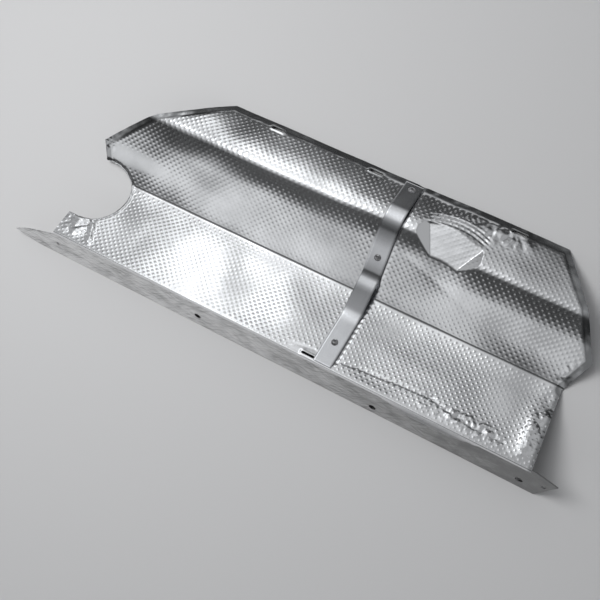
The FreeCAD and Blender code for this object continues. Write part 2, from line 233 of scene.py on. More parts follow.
def slice_faces(
    obj: Piece, chosen: np.ndarray, point: Vector, normal: Vector, drop_outer: bool = False
) -> None:
    """Cut the chosen faces along a plane.

    Args:
        obj: A mesh object in object mode.
        chosen: One truth value for each face.
        point: A point of the plane.
        normal: The plane's normal.
        drop_outer: Whether what lies on the normal's side is removed.
    """
    if not chosen.any():
        return
    edit_faces(obj, chosen)
    bpy.ops.mesh.bisect(plane_co=point, plane_no=normal, clear_outer=drop_outer, threshold=CUT_TOLERANCE)
    leave_edit()


def drop_faces(obj: Piece, chosen: np.ndarray) -> None:
    """Delete the chosen faces of an object.

    Args:
        obj: A mesh object in object mode.
        chosen: One truth value for each face.
    """
    edit_faces(obj, chosen)
    bpy.ops.mesh.delete(type="FACE")
    leave_edit()


def merge_close(obj: Piece, gap: float) -> None:
    """Merge the vertices that cuts left closer together than a gap.

    Args:
        obj: A mesh object in object mode.
        gap: The gap.
    """
    edit_faces(obj, all_faces(obj))
    bpy.ops.mesh.remove_doubles(threshold=gap)
    leave_edit()


def part_off(obj: Piece, chosen: np.ndarray) -> Piece:
    """Part the chosen faces off into an object of their own, where cuts are quick.

    Args:
        obj: A mesh object in object mode.
        chosen: One truth value for each face.

    Returns:
        The new object.
    """
    before = set(bpy.data.objects)
    edit_faces(obj, chosen)
    bpy.ops.mesh.separate(type="SELECTED")
    leave_edit()
    return next(other for other in bpy.data.objects if other not in before)


def join_back(obj: Piece, part: Piece) -> None:
    """Join a parted piece back to its object; its edges are merged later.

    Args:
        obj: The object.
        part: The parted piece.
    """
    make_active(obj)
    part.select_set(True)
    bpy.ops.object.join()


def punch(obj: Piece, outline: list[Vector], axis: Vector) -> None:
    """Cut a convex outline out of a sheet.

    Args:
        obj: The sheet, in object mode.
        outline: The outline's corners, counterclockwise seen against the axis.
        axis: The direction of the punch.
    """
    middle = sum(outline, Vector()) / len(outline)
    reach = max((corner - middle).length for corner in outline)
    near = np.linalg.norm(centres_of(obj) - np.array(middle), axis=1) < PUNCH_MARGIN * reach
    part = part_off(obj, near)
    inside = all_faces(part)
    sides = []
    for start, stop in zip(outline, outline[1:] + outline[:1]):
        outward = (stop - start).cross(axis).normalized()
        sides.append((start, outward))
        slice_faces(part, inside, start, outward)
        centres = centres_of(part)
        inside = all_faces(part)
        for point, normal in sides:
            inside &= (centres - np.array(point)) @ np.array(normal) < 0
    drop_faces(part, inside)
    join_back(obj, part)


def lay_grid(name: str, low: Pair, high: Pair, cells: tuple[int, int]) -> Piece:
    """Lay a flat grid.

    Args:
        name: The object's name.
        low: Its lowest x and y.
        high: Its highest x and y.
        cells: How many cells it has along x and y.

    Returns:
        The grid.
    """
    bpy.ops.object.select_all(action="DESELECT")
    middle = ((low[0] + high[0]) / 2, (low[1] + high[1]) / 2, 0.0)
    bpy.ops.mesh.primitive_grid_add(
        x_subdivisions=cells[0], y_subdivisions=cells[1], size=1.0, location=middle
    )
    grid = bpy.context.active_object
    grid.name = name
    grid.scale = (high[0] - low[0], high[1] - low[1], 1.0)
    bpy.ops.object.transform_apply(location=True, rotation=True, scale=True)
    return grid


def apply_modifier(obj: Piece, kind: str, **settings: object) -> None:
    """Add a modifier to an object and apply it.

    Args:
        obj: A mesh object in object mode.
        kind: The modifier's type.
        settings: The modifier's properties.
    """
    make_active(obj)
    modifier = obj.modifiers.new(kind.lower(), kind)
    for name, value in settings.items():
        setattr(modifier, name, value)
    bpy.ops.object.modifier_apply(modifier=modifier.name)


def thicken(obj: Piece, gauge: float) -> None:
    """Give a sheet its thickness, away from its top face."""
    apply_modifier(obj, "SOLIDIFY", thickness=gauge, offset=-1.0)


def soften_edges(obj: Piece, width: float) -> None:
    """Round off an object's sharp edges."""
    apply_modifier(obj, "BEVEL", width=width, segments=2, limit_method="ANGLE", angle_limit=EDGE_ANGLE)


def weigh(obj: Piece, name: str, weights: np.ndarray) -> str:
    """Add a vertex group.

    Args:
        obj: A mesh object in object mode.
        name: The group's name.
        weights: The weights of the first vertices; the others stay out of the group.

    Returns:
        The group's name.
    """
    group = obj.vertex_groups.new(name=name)
    for index in np.flatnonzero(weights > 0):
        group.add([int(index)], float(weights[index]), "REPLACE")
    return group.name


def smooth_shade(obj: Piece, degrees: float) -> None:
    """Shade an object smooth, apart from edges sharper than an angle."""
    make_active(obj)
    bpy.ops.object.shade_smooth_by_angle(angle=math.radians(degrees))


# The wave that the panel and the strap follow


@dataclass(frozen=True)
class Bend:
    """How a bend spreads its turn: lengths along it in millimetres, each with the share turned by then."""

    marks: tuple[Pair, ...]
    steps: int = 2001

    @property
    def stops(self) -> list[Pair]:
        """Give the marks with their lengths in metres."""
        return [(length * MM, share) for length, share in self.marks]

    @property
    def length(self) -> float:
        """Give the bend's whole length."""
        return self.stops[-1][0]

    def setbacks(self, start: float, stop: float) -> Pair:
        """Find how far before and after its corner the bend starts and stops.

        Args:
            start: The direction before the bend, as an angle above the floor.
            stop: The direction after it.

        Returns:
            The two distances from the corner.
        """
        lengths, shares = zip(*self.stops)
        along = np.linspace(0.0, self.length, self.steps)
        middles = (along[1:] + along[:-1]) / 2
        turns = mix(start, stop, np.interp(middles, lengths, shares))
        run = np.cos(turns).sum() * along[1]
        climb = np.sin(turns).sum() * along[1]
        before = (run * math.sin(stop) - climb * math.cos(stop)) / math.sin(stop - start)
        after = (climb * math.cos(start) - run * math.sin(start)) / math.sin(stop - start)
        return float(before), float(after)


CREASED_VALLEY = Bend(((0, 0.0), (22, 0.19), (25, 0.94), (36, 1.0)))
CREASED_RIDGE = Bend(((0, 0.0), (26, 0.16), (28, 0.43), (38, 0.8), (48, 0.91), (62, 0.96), (90, 1.0)))
SHARP_RIDGE = Bend(((0, 0.0), (8, 0.09), (30, 0.2), (33, 0.5), (40, 0.88), (56, 0.97), (76, 1.0)))
BRIDGED_VALLEY = Bend(((0, 0.0), (19, 0.5), (42, 0.56), (50, 0.4), (56, 0.4), (66, 0.94), (88, 1.0)))
ROUNDED_RIDGE = Bend(((0, 0.0), (20, 0.06), (52, 1.0)))


@dataclass
class WaveSection:
    """The section across the panel: lip, crest, front panel, valley, riser, ridge and back panel.

    A length along the section is counted from the crest's corner, and the lip has negative lengths.
    """

    valley: Bend
    ridge: Bend
    sheet_gauge: float = 0.8 * MM
    rail_gauge: float = 1.5 * MM
    rail_height: float = 52.0 * MM
    lip_height: float = 3.0 * MM
    lean: float = math.radians(29.0)
    front_run: float = 88.0 * MM
    riser: float = math.radians(23.0)
    riser_run: float = 92.0 * MM
    back: float = math.radians(36.0)
    valley_z: float = 0.4 * MM
    crest_radius: float = 1.2 * MM
    table_step: float = 0.05 * MM

    def __post_init__(self) -> None:
        """Work out the section's landmarks and its table of places and directions."""
        half = math.pi / 4
        tilt = half - self.lean
        corner = self.sheet_gauge / math.cos(half)
        self.rail_lift = self.rail_gauge * math.sin(self.lean)
        self.crest_y = self.rail_height * math.sin(self.lean) - corner * math.sin(tilt)
        self.crest_z = self.rail_lift + self.rail_height * math.cos(self.lean) + corner * math.cos(tilt)
        self.valley_y = self.crest_y + self.front_run
        self.ridge_y = self.valley_y + self.riser_run
        ridge_z = self.crest_z - self.front_run * math.tan(self.lean) + self.riser_run * math.tan(self.riser)
        self.drop = math.atan2(self.crest_z - self.valley_z, self.front_run)
        self.climb = math.atan2(ridge_z - self.valley_z, self.riser_run)
        self.back_z = 2 * self.sheet_gauge / math.cos(self.back)
        self.back_y = self.ridge_y + (ridge_z - self.back_z) / math.tan(self.back)
        self._lay_table()

    def with_ridge(self, ridge: Bend, forward: float) -> "WaveSection":
        """Make a like section with another ridge, of the same height and with the same back edge.

        Args:
            ridge: The ridge's bend.
            forward: How much nearer to the front the ridge is.

        Returns:
            The section.
        """
        run = self.riser_run - forward
        riser = math.atan(self.riser_run * math.tan(self.riser) / run)
        flat = self.back_y - self.ridge_y
        back = math.atan(math.tan(self.back) * flat / (flat + forward))
        return replace(self, ridge=ridge, riser_run=run, riser=riser, back=back)

    def _lay_table(self) -> None:
        """Walk along the section and note lengths, places and directions."""
        valley_before, valley_after = self.valley.setbacks(-self.drop, self.climb)
        ridge_before, ridge_after = self.ridge.setbacks(self.climb, -self.back)
        self.lip_length = self.lip_height + self.sheet_gauge - self.crest_radius
        self.arc_start = self.crest_radius - self.crest_radius * math.pi / 2
        self.lip_end = self.arc_start - self.lip_length
        upright = math.pi / 2 - self.lean
        marks = [self.lip_end, self.arc_start, self.crest_radius]
        headings = [upright, upright, -self.drop]
        valley_start = self.front_run / math.cos(self.drop) - valley_before
        ridge_start = valley_start + self.valley.length - valley_after - ridge_before
        ridge_start += self.riser_run / math.cos(self.climb)
        self.valley_folds = [valley_start + length for length, _ in self.valley.stops[1:-1]]
        self.valley_fold = float(np.mean(self.valley_folds))
        for start, bend, before, after in (
            (valley_start, self.valley, -self.drop, self.climb),
            (ridge_start, self.ridge, self.climb, -self.back),
        ):
            marks += [start + length for length, _ in bend.stops]
            headings += [mix(before, after, share) for _, share in bend.stops]
        flat = (self.back_y - self.ridge_y) / math.cos(self.back) - ridge_after
        marks.append(marks[-1] + flat)
        headings.append(-self.back)
        self.full_length = marks[-1]
        count = int((self.full_length - self.lip_end) / self.table_step)
        self.lengths = np.linspace(self.lip_end, self.full_length, count + 1)
        middles = (self.lengths[1:] + self.lengths[:-1]) / 2
        turns = np.interp(middles, marks, headings)
        steps = np.diff(self.lengths)
        lip_drop = self.lip_length + self.crest_radius
        start_y = self.crest_y - lip_drop * math.sin(self.lean)
        start_z = self.crest_z - lip_drop * math.cos(self.lean)
        self.table_y = start_y + np.concatenate(([0.0], np.cumsum(np.cos(turns) * steps)))
        self.table_z = start_z + np.concatenate(([0.0], np.cumsum(np.sin(turns) * steps)))
        self.table_turn = np.interp(self.lengths, marks, headings)
        self.table_measure = self._measure(self.table_y, self.table_z)

    def _measure(self, y: np.ndarray, z: np.ndarray) -> np.ndarray:
        """Give a number for each depth and height that only grows along the section."""
        aim = math.pi / 4 - self.lean
        return y * math.cos(aim) + z * math.sin(aim)

    def length_at(self, y: np.ndarray, z: np.ndarray) -> np.ndarray:
        """Find the lengths along the section of depths and heights on it."""
        return np.interp(self._measure(y, z), self.table_measure, self.lengths)

    def turn(self, length: np.ndarray) -> np.ndarray:
        """Give the section's direction at lengths along it, as an angle above the floor."""
        return np.interp(length, self.lengths, self.table_turn)

    def press(self, x: np.ndarray, length: np.ndarray, lift: np.ndarray | float = 0.0) -> np.ndarray:
        """Put points of the flat blank on the wave.

        Args:
            x: Places along the panel.
            length: Lengths along the section.
            lift: Heights over the top face.

        Returns:
            One row of x, y and z for each point.
        """
        turn = self.turn(length)
        y = np.interp(length, self.lengths, self.table_y) - lift * np.sin(turn)
        z = np.interp(length, self.lengths, self.table_z) + lift * np.cos(turn)
        return np.column_stack((x, y, z))

    def spot(self, x: float, length: float) -> tuple[Vector, Vector, Vector]:
        """Give a spot on the top face.

        Args:
            x: The place along the panel.
            length: The length along the section.

        Returns:
            The spot, the direction along the section and the normal.
        """
        place = Vector(self.press(np.array([x]), np.array([length]))[0])
        turn = float(self.turn(np.array([length]))[0])
        along = Vector((0, math.cos(turn), math.sin(turn)))
        return place, along, Vector((0, -math.sin(turn), math.cos(turn)))


# Finishes


class NodeBoard:
    """A node tree with short ways to add and join nodes."""

    def __init__(self, tree: bpy.types.NodeTree) -> None:
        """Clear a tree and keep it."""
        self.tree = tree
        tree.nodes.clear()

    def _feed(self, sockets: list[Socket], values: list[object]) -> None:
        """Link or set inputs.

        Args:
            sockets: The inputs.
            values: A socket or value for each; None leaves its input alone.
        """
        for socket, value in zip(sockets, values):
            if isinstance(value, Socket):
                self.tree.links.new(value, socket)
            elif value is not None:
                socket.default_value = value

    def add(self, kind: str, inputs: dict[str, object] | None = None, **settings: object) -> bpy.types.Node:
        """Add a node.

        Args:
            kind: The node's type.
            inputs: Values or sockets by the name of the input.
            settings: The node's properties.

        Returns:
            The node.
        """
        node = self.tree.nodes.new(kind)
        for name, value in settings.items():
            setattr(node, name, value)
        named = inputs or {}
        self._feed([node.inputs[name] for name in named], list(named.values()))
        return node

    def math(self, operation: str, first: object, second: object = 0.0) -> Socket:
        """Add a math node for two values or sockets, and give its result.

        Args:
            operation: The operation's name.
            first: A value or socket.
            second: A value or socket.

        Returns:
            The result's socket.
        """
        node = self.add("ShaderNodeMath", operation=operation)
        self._feed(node.inputs, [first, second])
        return node.outputs[0]

    def vector(self, operation: str, first: object, second: object | None = None) -> bpy.types.Node:
        """Add a vector math node for one or two vectors or sockets.

        Args:
            operation: The operation's name.
            first: A value or socket.
            second: A value or socket.

        Returns:
            The node.
        """
        node = self.add("ShaderNodeVectorMath", operation=operation)
        self._feed(node.inputs, [first, second])
        return node

    def spread(self, value: Socket, source: Pair, result: Pair, easing: str = "LINEAR") -> Socket:
        """Map a range of values to another, without going past its ends.

        Args:
            value: The socket to map.
            source: The values that become the first and the last result.
            result: The first and the last result.
            easing: How the results run from first to last.

        Returns:
            The result's socket.
        """
        names = ("Value", "From Min", "From Max", "To Min", "To Max")
        inputs = dict(zip(names, (value, *source, *result)))
        return self.add("ShaderNodeMapRange", inputs, interpolation_type=easing).outputs["Result"]

    def noise(self, where: Socket, scale: float, detail: float) -> Socket:
        """Add a noise texture with so many humps in a metre and so many octaves."""
        inputs = {"Vector": where, "Scale": scale, "Detail": detail}
        return self.add("ShaderNodeTexNoise", inputs).outputs["Fac"]


@dataclass(frozen=True)
class Scratches:
    """Fine lines of one direction: the axes along and across them, their spacing each way and their depth."""

    along_axis: Triple
    across_axis: Triple
    length: float
    spacing: float
    depth: float
    detail: float = 2.0

    def lines(self, board: NodeBoard, where: Socket) -> Socket:
        """Add a noise that is drawn out along the scratches.

        Args:
            board: The material's nodes.
            where: The coordinates.

        Returns:
            The noise's socket.
        """
        along = board.vector("DOT_PRODUCT", where, self.along_axis).outputs["Value"]
        across = board.vector("DOT_PRODUCT", where, self.across_axis).outputs["Value"]
        spot = board.add("ShaderNodeCombineXYZ", {
            "X": board.math("DIVIDE", along, self.length),
            "Y": board.math("DIVIDE", across, self.spacing),
        })
        return board.noise(spot.outputs["Vector"], 1.0, self.detail)


CLOUD_RANGE = (0.4, 0.7)
POLISH_RANGE = (0.3, 0.7)
GROOVE_RANGE = (0.5, 0.75)
LINE_RANGE = (0.52, 0.7)
CLOUD_DETAIL = 4.0
GRAIN_DETAIL = 3.0


@dataclass(frozen=True)
class MetalFinish:
    """Bare aluminium with uneven polish, clouds of tarnish, painted shade and fine scratches."""

    name: str
    colour: Triple
    tarnish_and_shade: Triple
    polish: float
    dullness: float
    cloud_size: float
    grain_size: float
    grain_depth: float
    scratches: tuple[Scratches, ...] = ()
    cloud_wear: float = 1.0

    def material(self) -> bpy.types.Material:
        """Make the finish's material.

        Returns:
            The material.
        """
        material = bpy.data.materials.new(self.name)
        material.use_nodes = True
        board = NodeBoard(material.node_tree)
        where = board.add("ShaderNodeTexCoord").outputs["Object"]
        clouds = board.noise(where, 1 / self.cloud_size, CLOUD_DETAIL)
        tint = board.add("ShaderNodeMix", {
            "Factor": self._wear_and_shade(board, where, clouds),
            "A": (*self.colour, 1.0),
            "B": (*self.tarnish_and_shade, 1.0),
        }, data_type="RGBA")
        relief = self._relief(board, where)
        bump = board.add("ShaderNodeBump", {"Height": relief, "Distance": 1.0, "Strength": 1.0})
        shader = board.add("ShaderNodeBsdfPrincipled", {
            "Base Color": tint.outputs["Result"],
            "Metallic": 1.0,
            "Roughness": board.spread(clouds, POLISH_RANGE, (self.polish, self.dullness)),
            "Normal": bump.outputs["Normal"],
        })
        board.add("ShaderNodeOutputMaterial", {"Surface": shader.outputs["BSDF"]})
        return material

    def _wear_and_shade(self, board: NodeBoard, where: Socket, clouds: Socket) -> Socket:
        """Say how dark the metal is: tarnish by its clouds, and painted shade from an attribute.

        Args:
            board: The material's nodes.
            where: The coordinates; not used.
            clouds: The clouds of tarnish.

        Returns:
            The socket of a share from 0 to 1.
        """
        # Painted shade marked in an attribute darkens the metal on top of its tarnish
        painted_shade = board.add("ShaderNodeAttribute", attribute_name=PAINTED_SHADE).outputs["Fac"]
        return board.math("ADD", board.spread(clouds, CLOUD_RANGE, (0.0, self.cloud_wear)), painted_shade)

    def _relief(self, board: NodeBoard, where: Socket) -> Socket:
        """Add up the grain and the scratches.

        Args:
            board: The material's nodes.
            where: The coordinates.

        Returns:
            The height's socket.
        """
        grain = board.noise(where, 1 / self.grain_size, GRAIN_DETAIL)
        relief = board.math("MULTIPLY", grain, self.grain_depth)
        for layer in self.scratches:
            groove = board.spread(layer.lines(board, where), GROOVE_RANGE, (0.0, -layer.depth))
            relief = board.math("ADD", relief, groove)
        return relief


@dataclass(frozen=True)
class EmbossedFinish(MetalFinish):
    """Bare aluminium embossed with small domes, which a lattice of UV places and an attribute fades."""

    dome_radius: float = 0.36
    dome_height: float = 0.3 * MM
    cell_middle: Triple = (0.5, 0.5, 0.0)

    def _relief(self, board: NodeBoard, where: Socket) -> Socket:
        """Add the domes to the grain.

        Args:
            board: The material's nodes.
            where: The coordinates.

        Returns:
            The height's socket.
        """
        lattice = board.add("ShaderNodeUVMap", uv_map=LATTICE).outputs["UV"]
        moved = board.vector("ADD", lattice, self.cell_middle).outputs["Vector"]
        cell = board.vector("FRACTION", moved).outputs["Vector"]
        away = board.vector("DISTANCE", cell, self.cell_middle).outputs["Value"]
        dome = board.spread(away, (0.0, self.dome_radius), (self.dome_height, 0.0), "SMOOTHSTEP")
        share = board.add("ShaderNodeAttribute", attribute_name=EMBOSSING).outputs["Fac"]
        return board.math("ADD", super()._relief(board, where), board.math("MULTIPLY", dome, share))


@dataclass(frozen=True)
class ShadedFinish(MetalFinish):
    """Bare aluminium with painted shade that darkens it towards one end, and lines of tarnish in its
    scratches.
    """

    lit_x: float = 0.0
    shaded_x: float = 1.0
    scratch_tarnish: float = 0.52

    def _wear_and_shade(self, board: NodeBoard, where: Socket, clouds: Socket) -> Socket:
        """Say how dark the metal is: painted shade by its place along the part, and tarnish by its clouds and
        its scratches.

        Args:
            board: The material's nodes.
            where: The coordinates.
            clouds: The clouds of tarnish.

        Returns:
            The socket of a share from 0 to 1.
        """
        x = board.add("ShaderNodeSeparateXYZ", {"Vector": where}).outputs["X"]
        # Painted shade: the metal is darkened along x towards the part's far end
        shade_and_wear = board.spread(x, (self.lit_x, self.shaded_x), (0.0, 1.0))
        shade_and_wear = board.math("ADD", shade_and_wear, board.spread(clouds, CLOUD_RANGE, (0.0, self.cloud_wear)))
        for layer in self.scratches:
            lines = board.spread(layer.lines(board, where), LINE_RANGE, (0.0, self.scratch_tarnish))
            shade_and_wear = board.math("ADD", shade_and_wear, lines)
        return shade_and_wear


def lines_on_slope(slope: float, turn: float, length: float, spacing: float, depth: float) -> Scratches:
    """Lay scratches on a face that runs along X and is tilted about it.

    Args:
        slope: The face's tilt from the floor, in degrees.
        turn: The scratches' angle from X on the face, in degrees.
        length: Their length in millimetres.
        spacing: The space between them in millimetres.
        depth: Their depth in millimetres.

    Returns:
        The scratches.
    """
    tilt, angle = math.radians(slope), math.radians(turn)
    side = Vector((1.0, 0.0, 0.0))
    up = Vector((0.0, math.cos(tilt), math.sin(tilt)))
    along = math.cos(angle) * side + math.sin(angle) * up
    across = -math.sin(angle) * side + math.cos(angle) * up
    return Scratches(tuple(along), tuple(across), *mm(length, spacing, depth))


RAIL_SLOPE = 61.0
EMBOSSED = EmbossedFinish(
    name="embossed_aluminium",
    colour=(0.90, 0.905, 0.915),
    tarnish_and_shade=(0.36, 0.365, 0.37),
    polish=0.11,
    dullness=0.2,
    cloud_size=40 * MM,
    grain_size=1.5 * MM,
    grain_depth=0.02 * MM,
    cloud_wear=0.15,
)
# The strip's dark second colour also paints the strap's sides as shade
STRIP = MetalFinish(
    name="plain_strip_aluminium",
    colour=(0.84, 0.85, 0.87),
    tarnish_and_shade=(0.16, 0.16, 0.17),
    polish=0.13,
    dullness=0.22,
    cloud_size=30 * MM,
    grain_size=2 * MM,
    grain_depth=0.006 * MM,
    scratches=(lines_on_slope(0.0, 88.0, 40.0, 0.7, 0.01),),
    cloud_wear=0.13,
)
RAIL = ShadedFinish(
    name="scuffed_rail_aluminium",
    colour=(0.9, 0.9, 0.9),
    tarnish_and_shade=(0.3, 0.3, 0.3),
    polish=0.28,
    dullness=0.5,
    cloud_size=22 * MM,
    grain_size=2 * MM,
    grain_depth=0.01 * MM,
    scratches=(
        lines_on_slope(RAIL_SLOPE, 38.0, 30.0, 1.2, 0.16),
        lines_on_slope(RAIL_SLOPE, -33.0, 26.0, 1.2, 0.16),
        lines_on_slope(RAIL_SLOPE, 4.0, 60.0, 2.0, 0.12),
    ),
    cloud_wear=0.25,
    # Painted shade: darker towards the rail's right end
    lit_x=-0.02,
    shaded_x=0.36,
)
RIVET = MetalFinish(
    name="rivet_aluminium",
    colour=(0.55, 0.55, 0.56),
    tarnish_and_shade=(0.3, 0.3, 0.3),
    polish=0.25,
    dullness=0.4,
    cloud_size=3 * MM,
    grain_size=0.6 * MM,
    grain_depth=0.01 * MM,
)


# Marks of making and wear on the sheet, by x and y in millimetres


@dataclass(frozen=True)
class Crease:
    """A sharp fold line pressed into the sheet: its points, depth and width."""

    points: tuple[Pair, ...]
    depth: float
    width: float

    def lift(self, plan: np.ndarray) -> np.ndarray:
        """Give the crease's height at each x and y.

        Args:
            plan: One row of x and y for each point.

        Returns:
            The height at each point.
        """
        points = [mm(*point) for point in self.points]
        gap = np.min([away_from(plan, a, b) for a, b in zip(points, points[1:])], axis=0)
        return -self.depth * MM * np.exp(-((gap / (self.width * MM)) ** 2))


@dataclass(frozen=True)
class Crumple:
    """A patch of crushed sheet: its middle, reach each way, height, and size and pattern of its humps."""

    middle: Pair
    reach: Pair
    height: float
    grain: float
    seed: float
    finer: float = 2.3
    finer_seed: float = 10.0
    core: float = 0.4
    sink: float = 0.25

    def share(self, plan: np.ndarray) -> np.ndarray:
        """Give how crushed the sheet is at each x and y, as a share from 0 to 1."""
        away = np.linalg.norm((plan - np.array(mm(*self.middle))) / np.array(mm(*self.reach)), axis=1)
        return 1.0 - rise(self.core, 1.0, away)

    def lift(self, plan: np.ndarray) -> np.ndarray:
        """Give the height of the crushed sheet, whose humps meet in sharp folds.

        Args:
            plan: One row of x and y for each point of the sheet.

        Returns:
            The height at each point.
        """
        share = self.share(plan)
        crushed = share > 0
        grain = self.grain * MM
        folds = np.abs(Ripple(1.0, grain, self.seed).over(plan[crushed]))
        folds += np.abs(Ripple(0.5, grain / self.finer, self.seed + self.finer_seed).over(plan[crushed]))
        heights = np.zeros(len(plan))
        heights[crushed] = self.height * MM * share[crushed] * (folds - self.sink)
        return heights


@dataclass(frozen=True)
class Dent:
    """A gentle hump or hollow: its middle, its reach along and across, and its height."""

    middle: Pair
    reach: Pair
    height: float

    def lift(self, plan: np.ndarray) -> np.ndarray:
        """Give the dent's height at each x and y."""
        away = (plan - np.array(mm(*self.middle))) / np.array(mm(*self.reach))
        return self.height * MM * np.exp(-np.sum(away**2, axis=1))


CREASES = (
    Crease(((12, 36), (35, 40), (63, 42), (86, 44), (123, 46)), 0.6, 1.7),
    Crease(((118, 46), (150, 40), (179, 37), (208, 38)), 0.5, 2.0),
    Crease(((30, 172), (80, 158), (120, 146), (165, 150), (200, 140)), 0.12, 3.5),
    Crease(((-330, 56), (-316, 27)), -1.0, 3.0),
    Crease(((-52, 29), (-40, 33), (-17, 37), (-6, 35)), 0.5, 1.6),
)
CRUMPLES = (
    Crumple((236, 66), (20, 48), 2.2, 24, 1.7),
    Crumple((150, 31), (95, 9), 1.0, 8, 4.2),
    Crumple((168, 41), (50, 9), 1.3, 8, 7.5),
    Crumple((-350, 54), (26, 34), 2.6, 25, 8.4),
    Crumple((-366, 149), (14, 12), 1.2, 8, 6.1),
    Crumple((240, 130), (16, 22), 1.2, 18, 3.3),
    Crumple((110, 236), (50, 14), 1.6, 14, 5.6),
)
DENTS = (
    Dent((-310, 190), (60, 26), -1.6),
    Dent((188, 139), (58, 20), -2.4),
    Dent((228, 62), (11, 26), 2.2),
    Dent((175, 66), (30, 24), -1.2),
    Dent((95, 68), (50, 12), 0.7),
    Dent((-20, 62), (40, 16), 0.5),
    Dent((-305, 135), (66, 15), -1.1),
    Dent((-256, 236), (26, 20), 1.5),
    Dent((95, 242), (60, 15), 1.5),
)


@dataclass(frozen=True)
class Stamp:
    """The tool that stamps the flat on the ridge, and the rings that it pushes up behind the flat."""

    x: float = 70.0 * MM
    floor: float = 26.0 * MM
    tilt: float = math.radians(6.0)
    front: float = 38.0 * MM
    back: float = 68.0 * MM
    width: float = 36.0 * MM
    bow: float = 6.0 * MM
    wall: float = 14.0 * MM
    end_slope: float = 30.0 * MM
    back_slope: float = 9.0 * MM
    uneven: Ripple = Ripple(0.08 * MM, 8 * MM, 0.7)
    clear: float = 1.0
    ring_height: float = 0.45 * MM
    ring_space: float = 4.2 * MM
    ring_ends: Pair = (0.35, 0.62)
    ring_start: Pair = mm(0.0, 2.0)
    ring_stop: Pair = mm(9.0, 16.0)

    def _back_line(self, across: np.ndarray) -> np.ndarray:
        """Give how far behind the ridge the flat's curved back is, by the place across the flat."""
        bow_radius = ((self.back / 2) ** 2 + self.bow**2) / (2 * self.bow)
        return self.width / 2 - across**2 / (2 * bow_radius)

    def face(self, plan: np.ndarray, ridge_y: float) -> np.ndarray:
        """Give the height of the tool's face over the floor, which is clear of the sheet off the ridge.

        Args:
            plan: One row of x and y for each point.
            ridge_y: The ridge's depth.

        Returns:
            The height at each point.
        """
        across = plan[:, 0] - self.x
        depth = plan[:, 1] - ridge_y
        share = (depth + self.width / 2) / (self.width - self.bow)
        half = mix(self.front, self.back, share) / 2
        floor = self.floor - depth * math.tan(self.tilt)
        ends = (np.abs(across) - half) * self.wall / self.end_slope
        wall = (depth - self._back_line(across)) * self.wall / self.back_slope
        tool = floor + np.maximum(0.0, np.maximum(ends, wall)) + self.uneven.over(plan)
        return np.where(np.abs(depth) < self.width, tool, self.clear)

    def rings(self, plan: np.ndarray, ridge_y: float) -> np.ndarray:
        """Give the height of the rings behind the flat's curved back.

        Args:
            plan: One row of x and y for each point.
            ridge_y: The ridge's depth.

        Returns:
            The height at each point.
        """
        across = plan[:, 0] - self.x
        past = plan[:, 1] - ridge_y - self._back_line(across)
        reach = 1.0 - rise(*self.ring_ends, np.abs(across) / self.back)
        reach *= rise(*self.ring_start, past) * (1.0 - rise(*self.ring_stop, past))
        return self.ring_height * reach * np.cos(past * FULL_TURN / self.ring_space)


@dataclass(frozen=True)
class Embossing:
    """The sheet's domes: their size, what edges and wear leave of them, and how crisp they are by zone."""

    pitch: float = 5.15 * MM
    height: float = 0.15 * MM
    cells: int = 4
    dome_reach: float = 0.48
    margin: float = 2.0 * MM
    crest_clear: float = 4.0 * MM
    droop_clear: Pair = mm(2.0, 5.0)
    fold_clear: Pair = mm(1.5, 4.5)
    smooth_patches: tuple[tuple[Pair, Pair], ...] = (
        (mm(-21.0, 31.0), mm(30.0, 8.0)),
        (mm(-326.0, 144.0), mm(52.0, 13.0)),
    )
    patch_edge: Pair = (0.7, 1.1)
    crumple_loss: float = 0.5
    stamp_loss: float = 0.5
    pressed_loss: float = 0.5
    level: float = 0.8
    fading: Ripple = Ripple(0.8, 55 * MM, 2.2)
    pressed_x: float = -178.0 * MM
    pressed_reach: float = 58.0 * MM
    pressed_edge: Pair = mm(-24.0, -10.0)
    front_crisp: Pair = (0.5, 0.85)
    front_change: Pair = mm(-120.0, 30.0)
    pressed_crisp: float = 0.25
    riser_crisp: Pair = (0.22, 0.3)
    riser_change: Pair = mm(0.0, 150.0)
    valley_change: Pair = mm(-3.0, 6.0)
    back_crisp: float = 0.32
    ridge_change: Pair = mm(-14.0, 6.0)

    def dome(self, lattice: np.ndarray) -> np.ndarray:
        """Give the domes' height at places on the lattice, as a share of their full height."""
        away = np.linalg.norm(lattice - np.round(lattice), axis=1)
        return np.cos(np.minimum(away / self.dome_reach, 1.0) * math.pi / 2) ** 2

    def pressed_flat(self, plan: np.ndarray, section: WaveSection) -> np.ndarray:
        """Give where the front panel's domes are pressed nearly flat, as a share at each x and y.

        Args:
            plan: One row of x and y for each point.
            section: The panel's section.

        Returns:
            A share for each point.
        """
        low, high = self.pressed_edge
        front = 1.0 - rise(section.valley_y + low, section.valley_y + high, plan[:, 1])
        return front * np.exp(-(((plan[:, 0] - self.pressed_x) / self.pressed_reach) ** 2))

    def crispness(self, plan: np.ndarray, section: WaveSection) -> np.ndarray:
        """Work out how crisp the domes are: most at the front on the right, and least on the riser's left.

        Args:
            plan: Each vertex's x and y.
            section: The panel's section.

        Returns:
            A share for each vertex.
        """
        x, y = plan[:, 0], plan[:, 1]
        front = mix(*self.front_crisp, rise(*self.front_change, x))
        front -= self.pressed_crisp * self.pressed_flat(plan, section)
        riser = mix(*self.riser_crisp, rise(*self.riser_change, x))
        crisp = mix(front, riser, rise(*self.valley_change, y - section.valley_y))
        return mix(crisp, self.back_crisp, rise(*self.ridge_change, y - section.ridge_y))


# Pieces


@dataclass(frozen=True)
class SideSection:
    """The section that the panel takes on towards one end: between which places along it the change runs."""

    section: WaveSection
    start: float
    stop: float


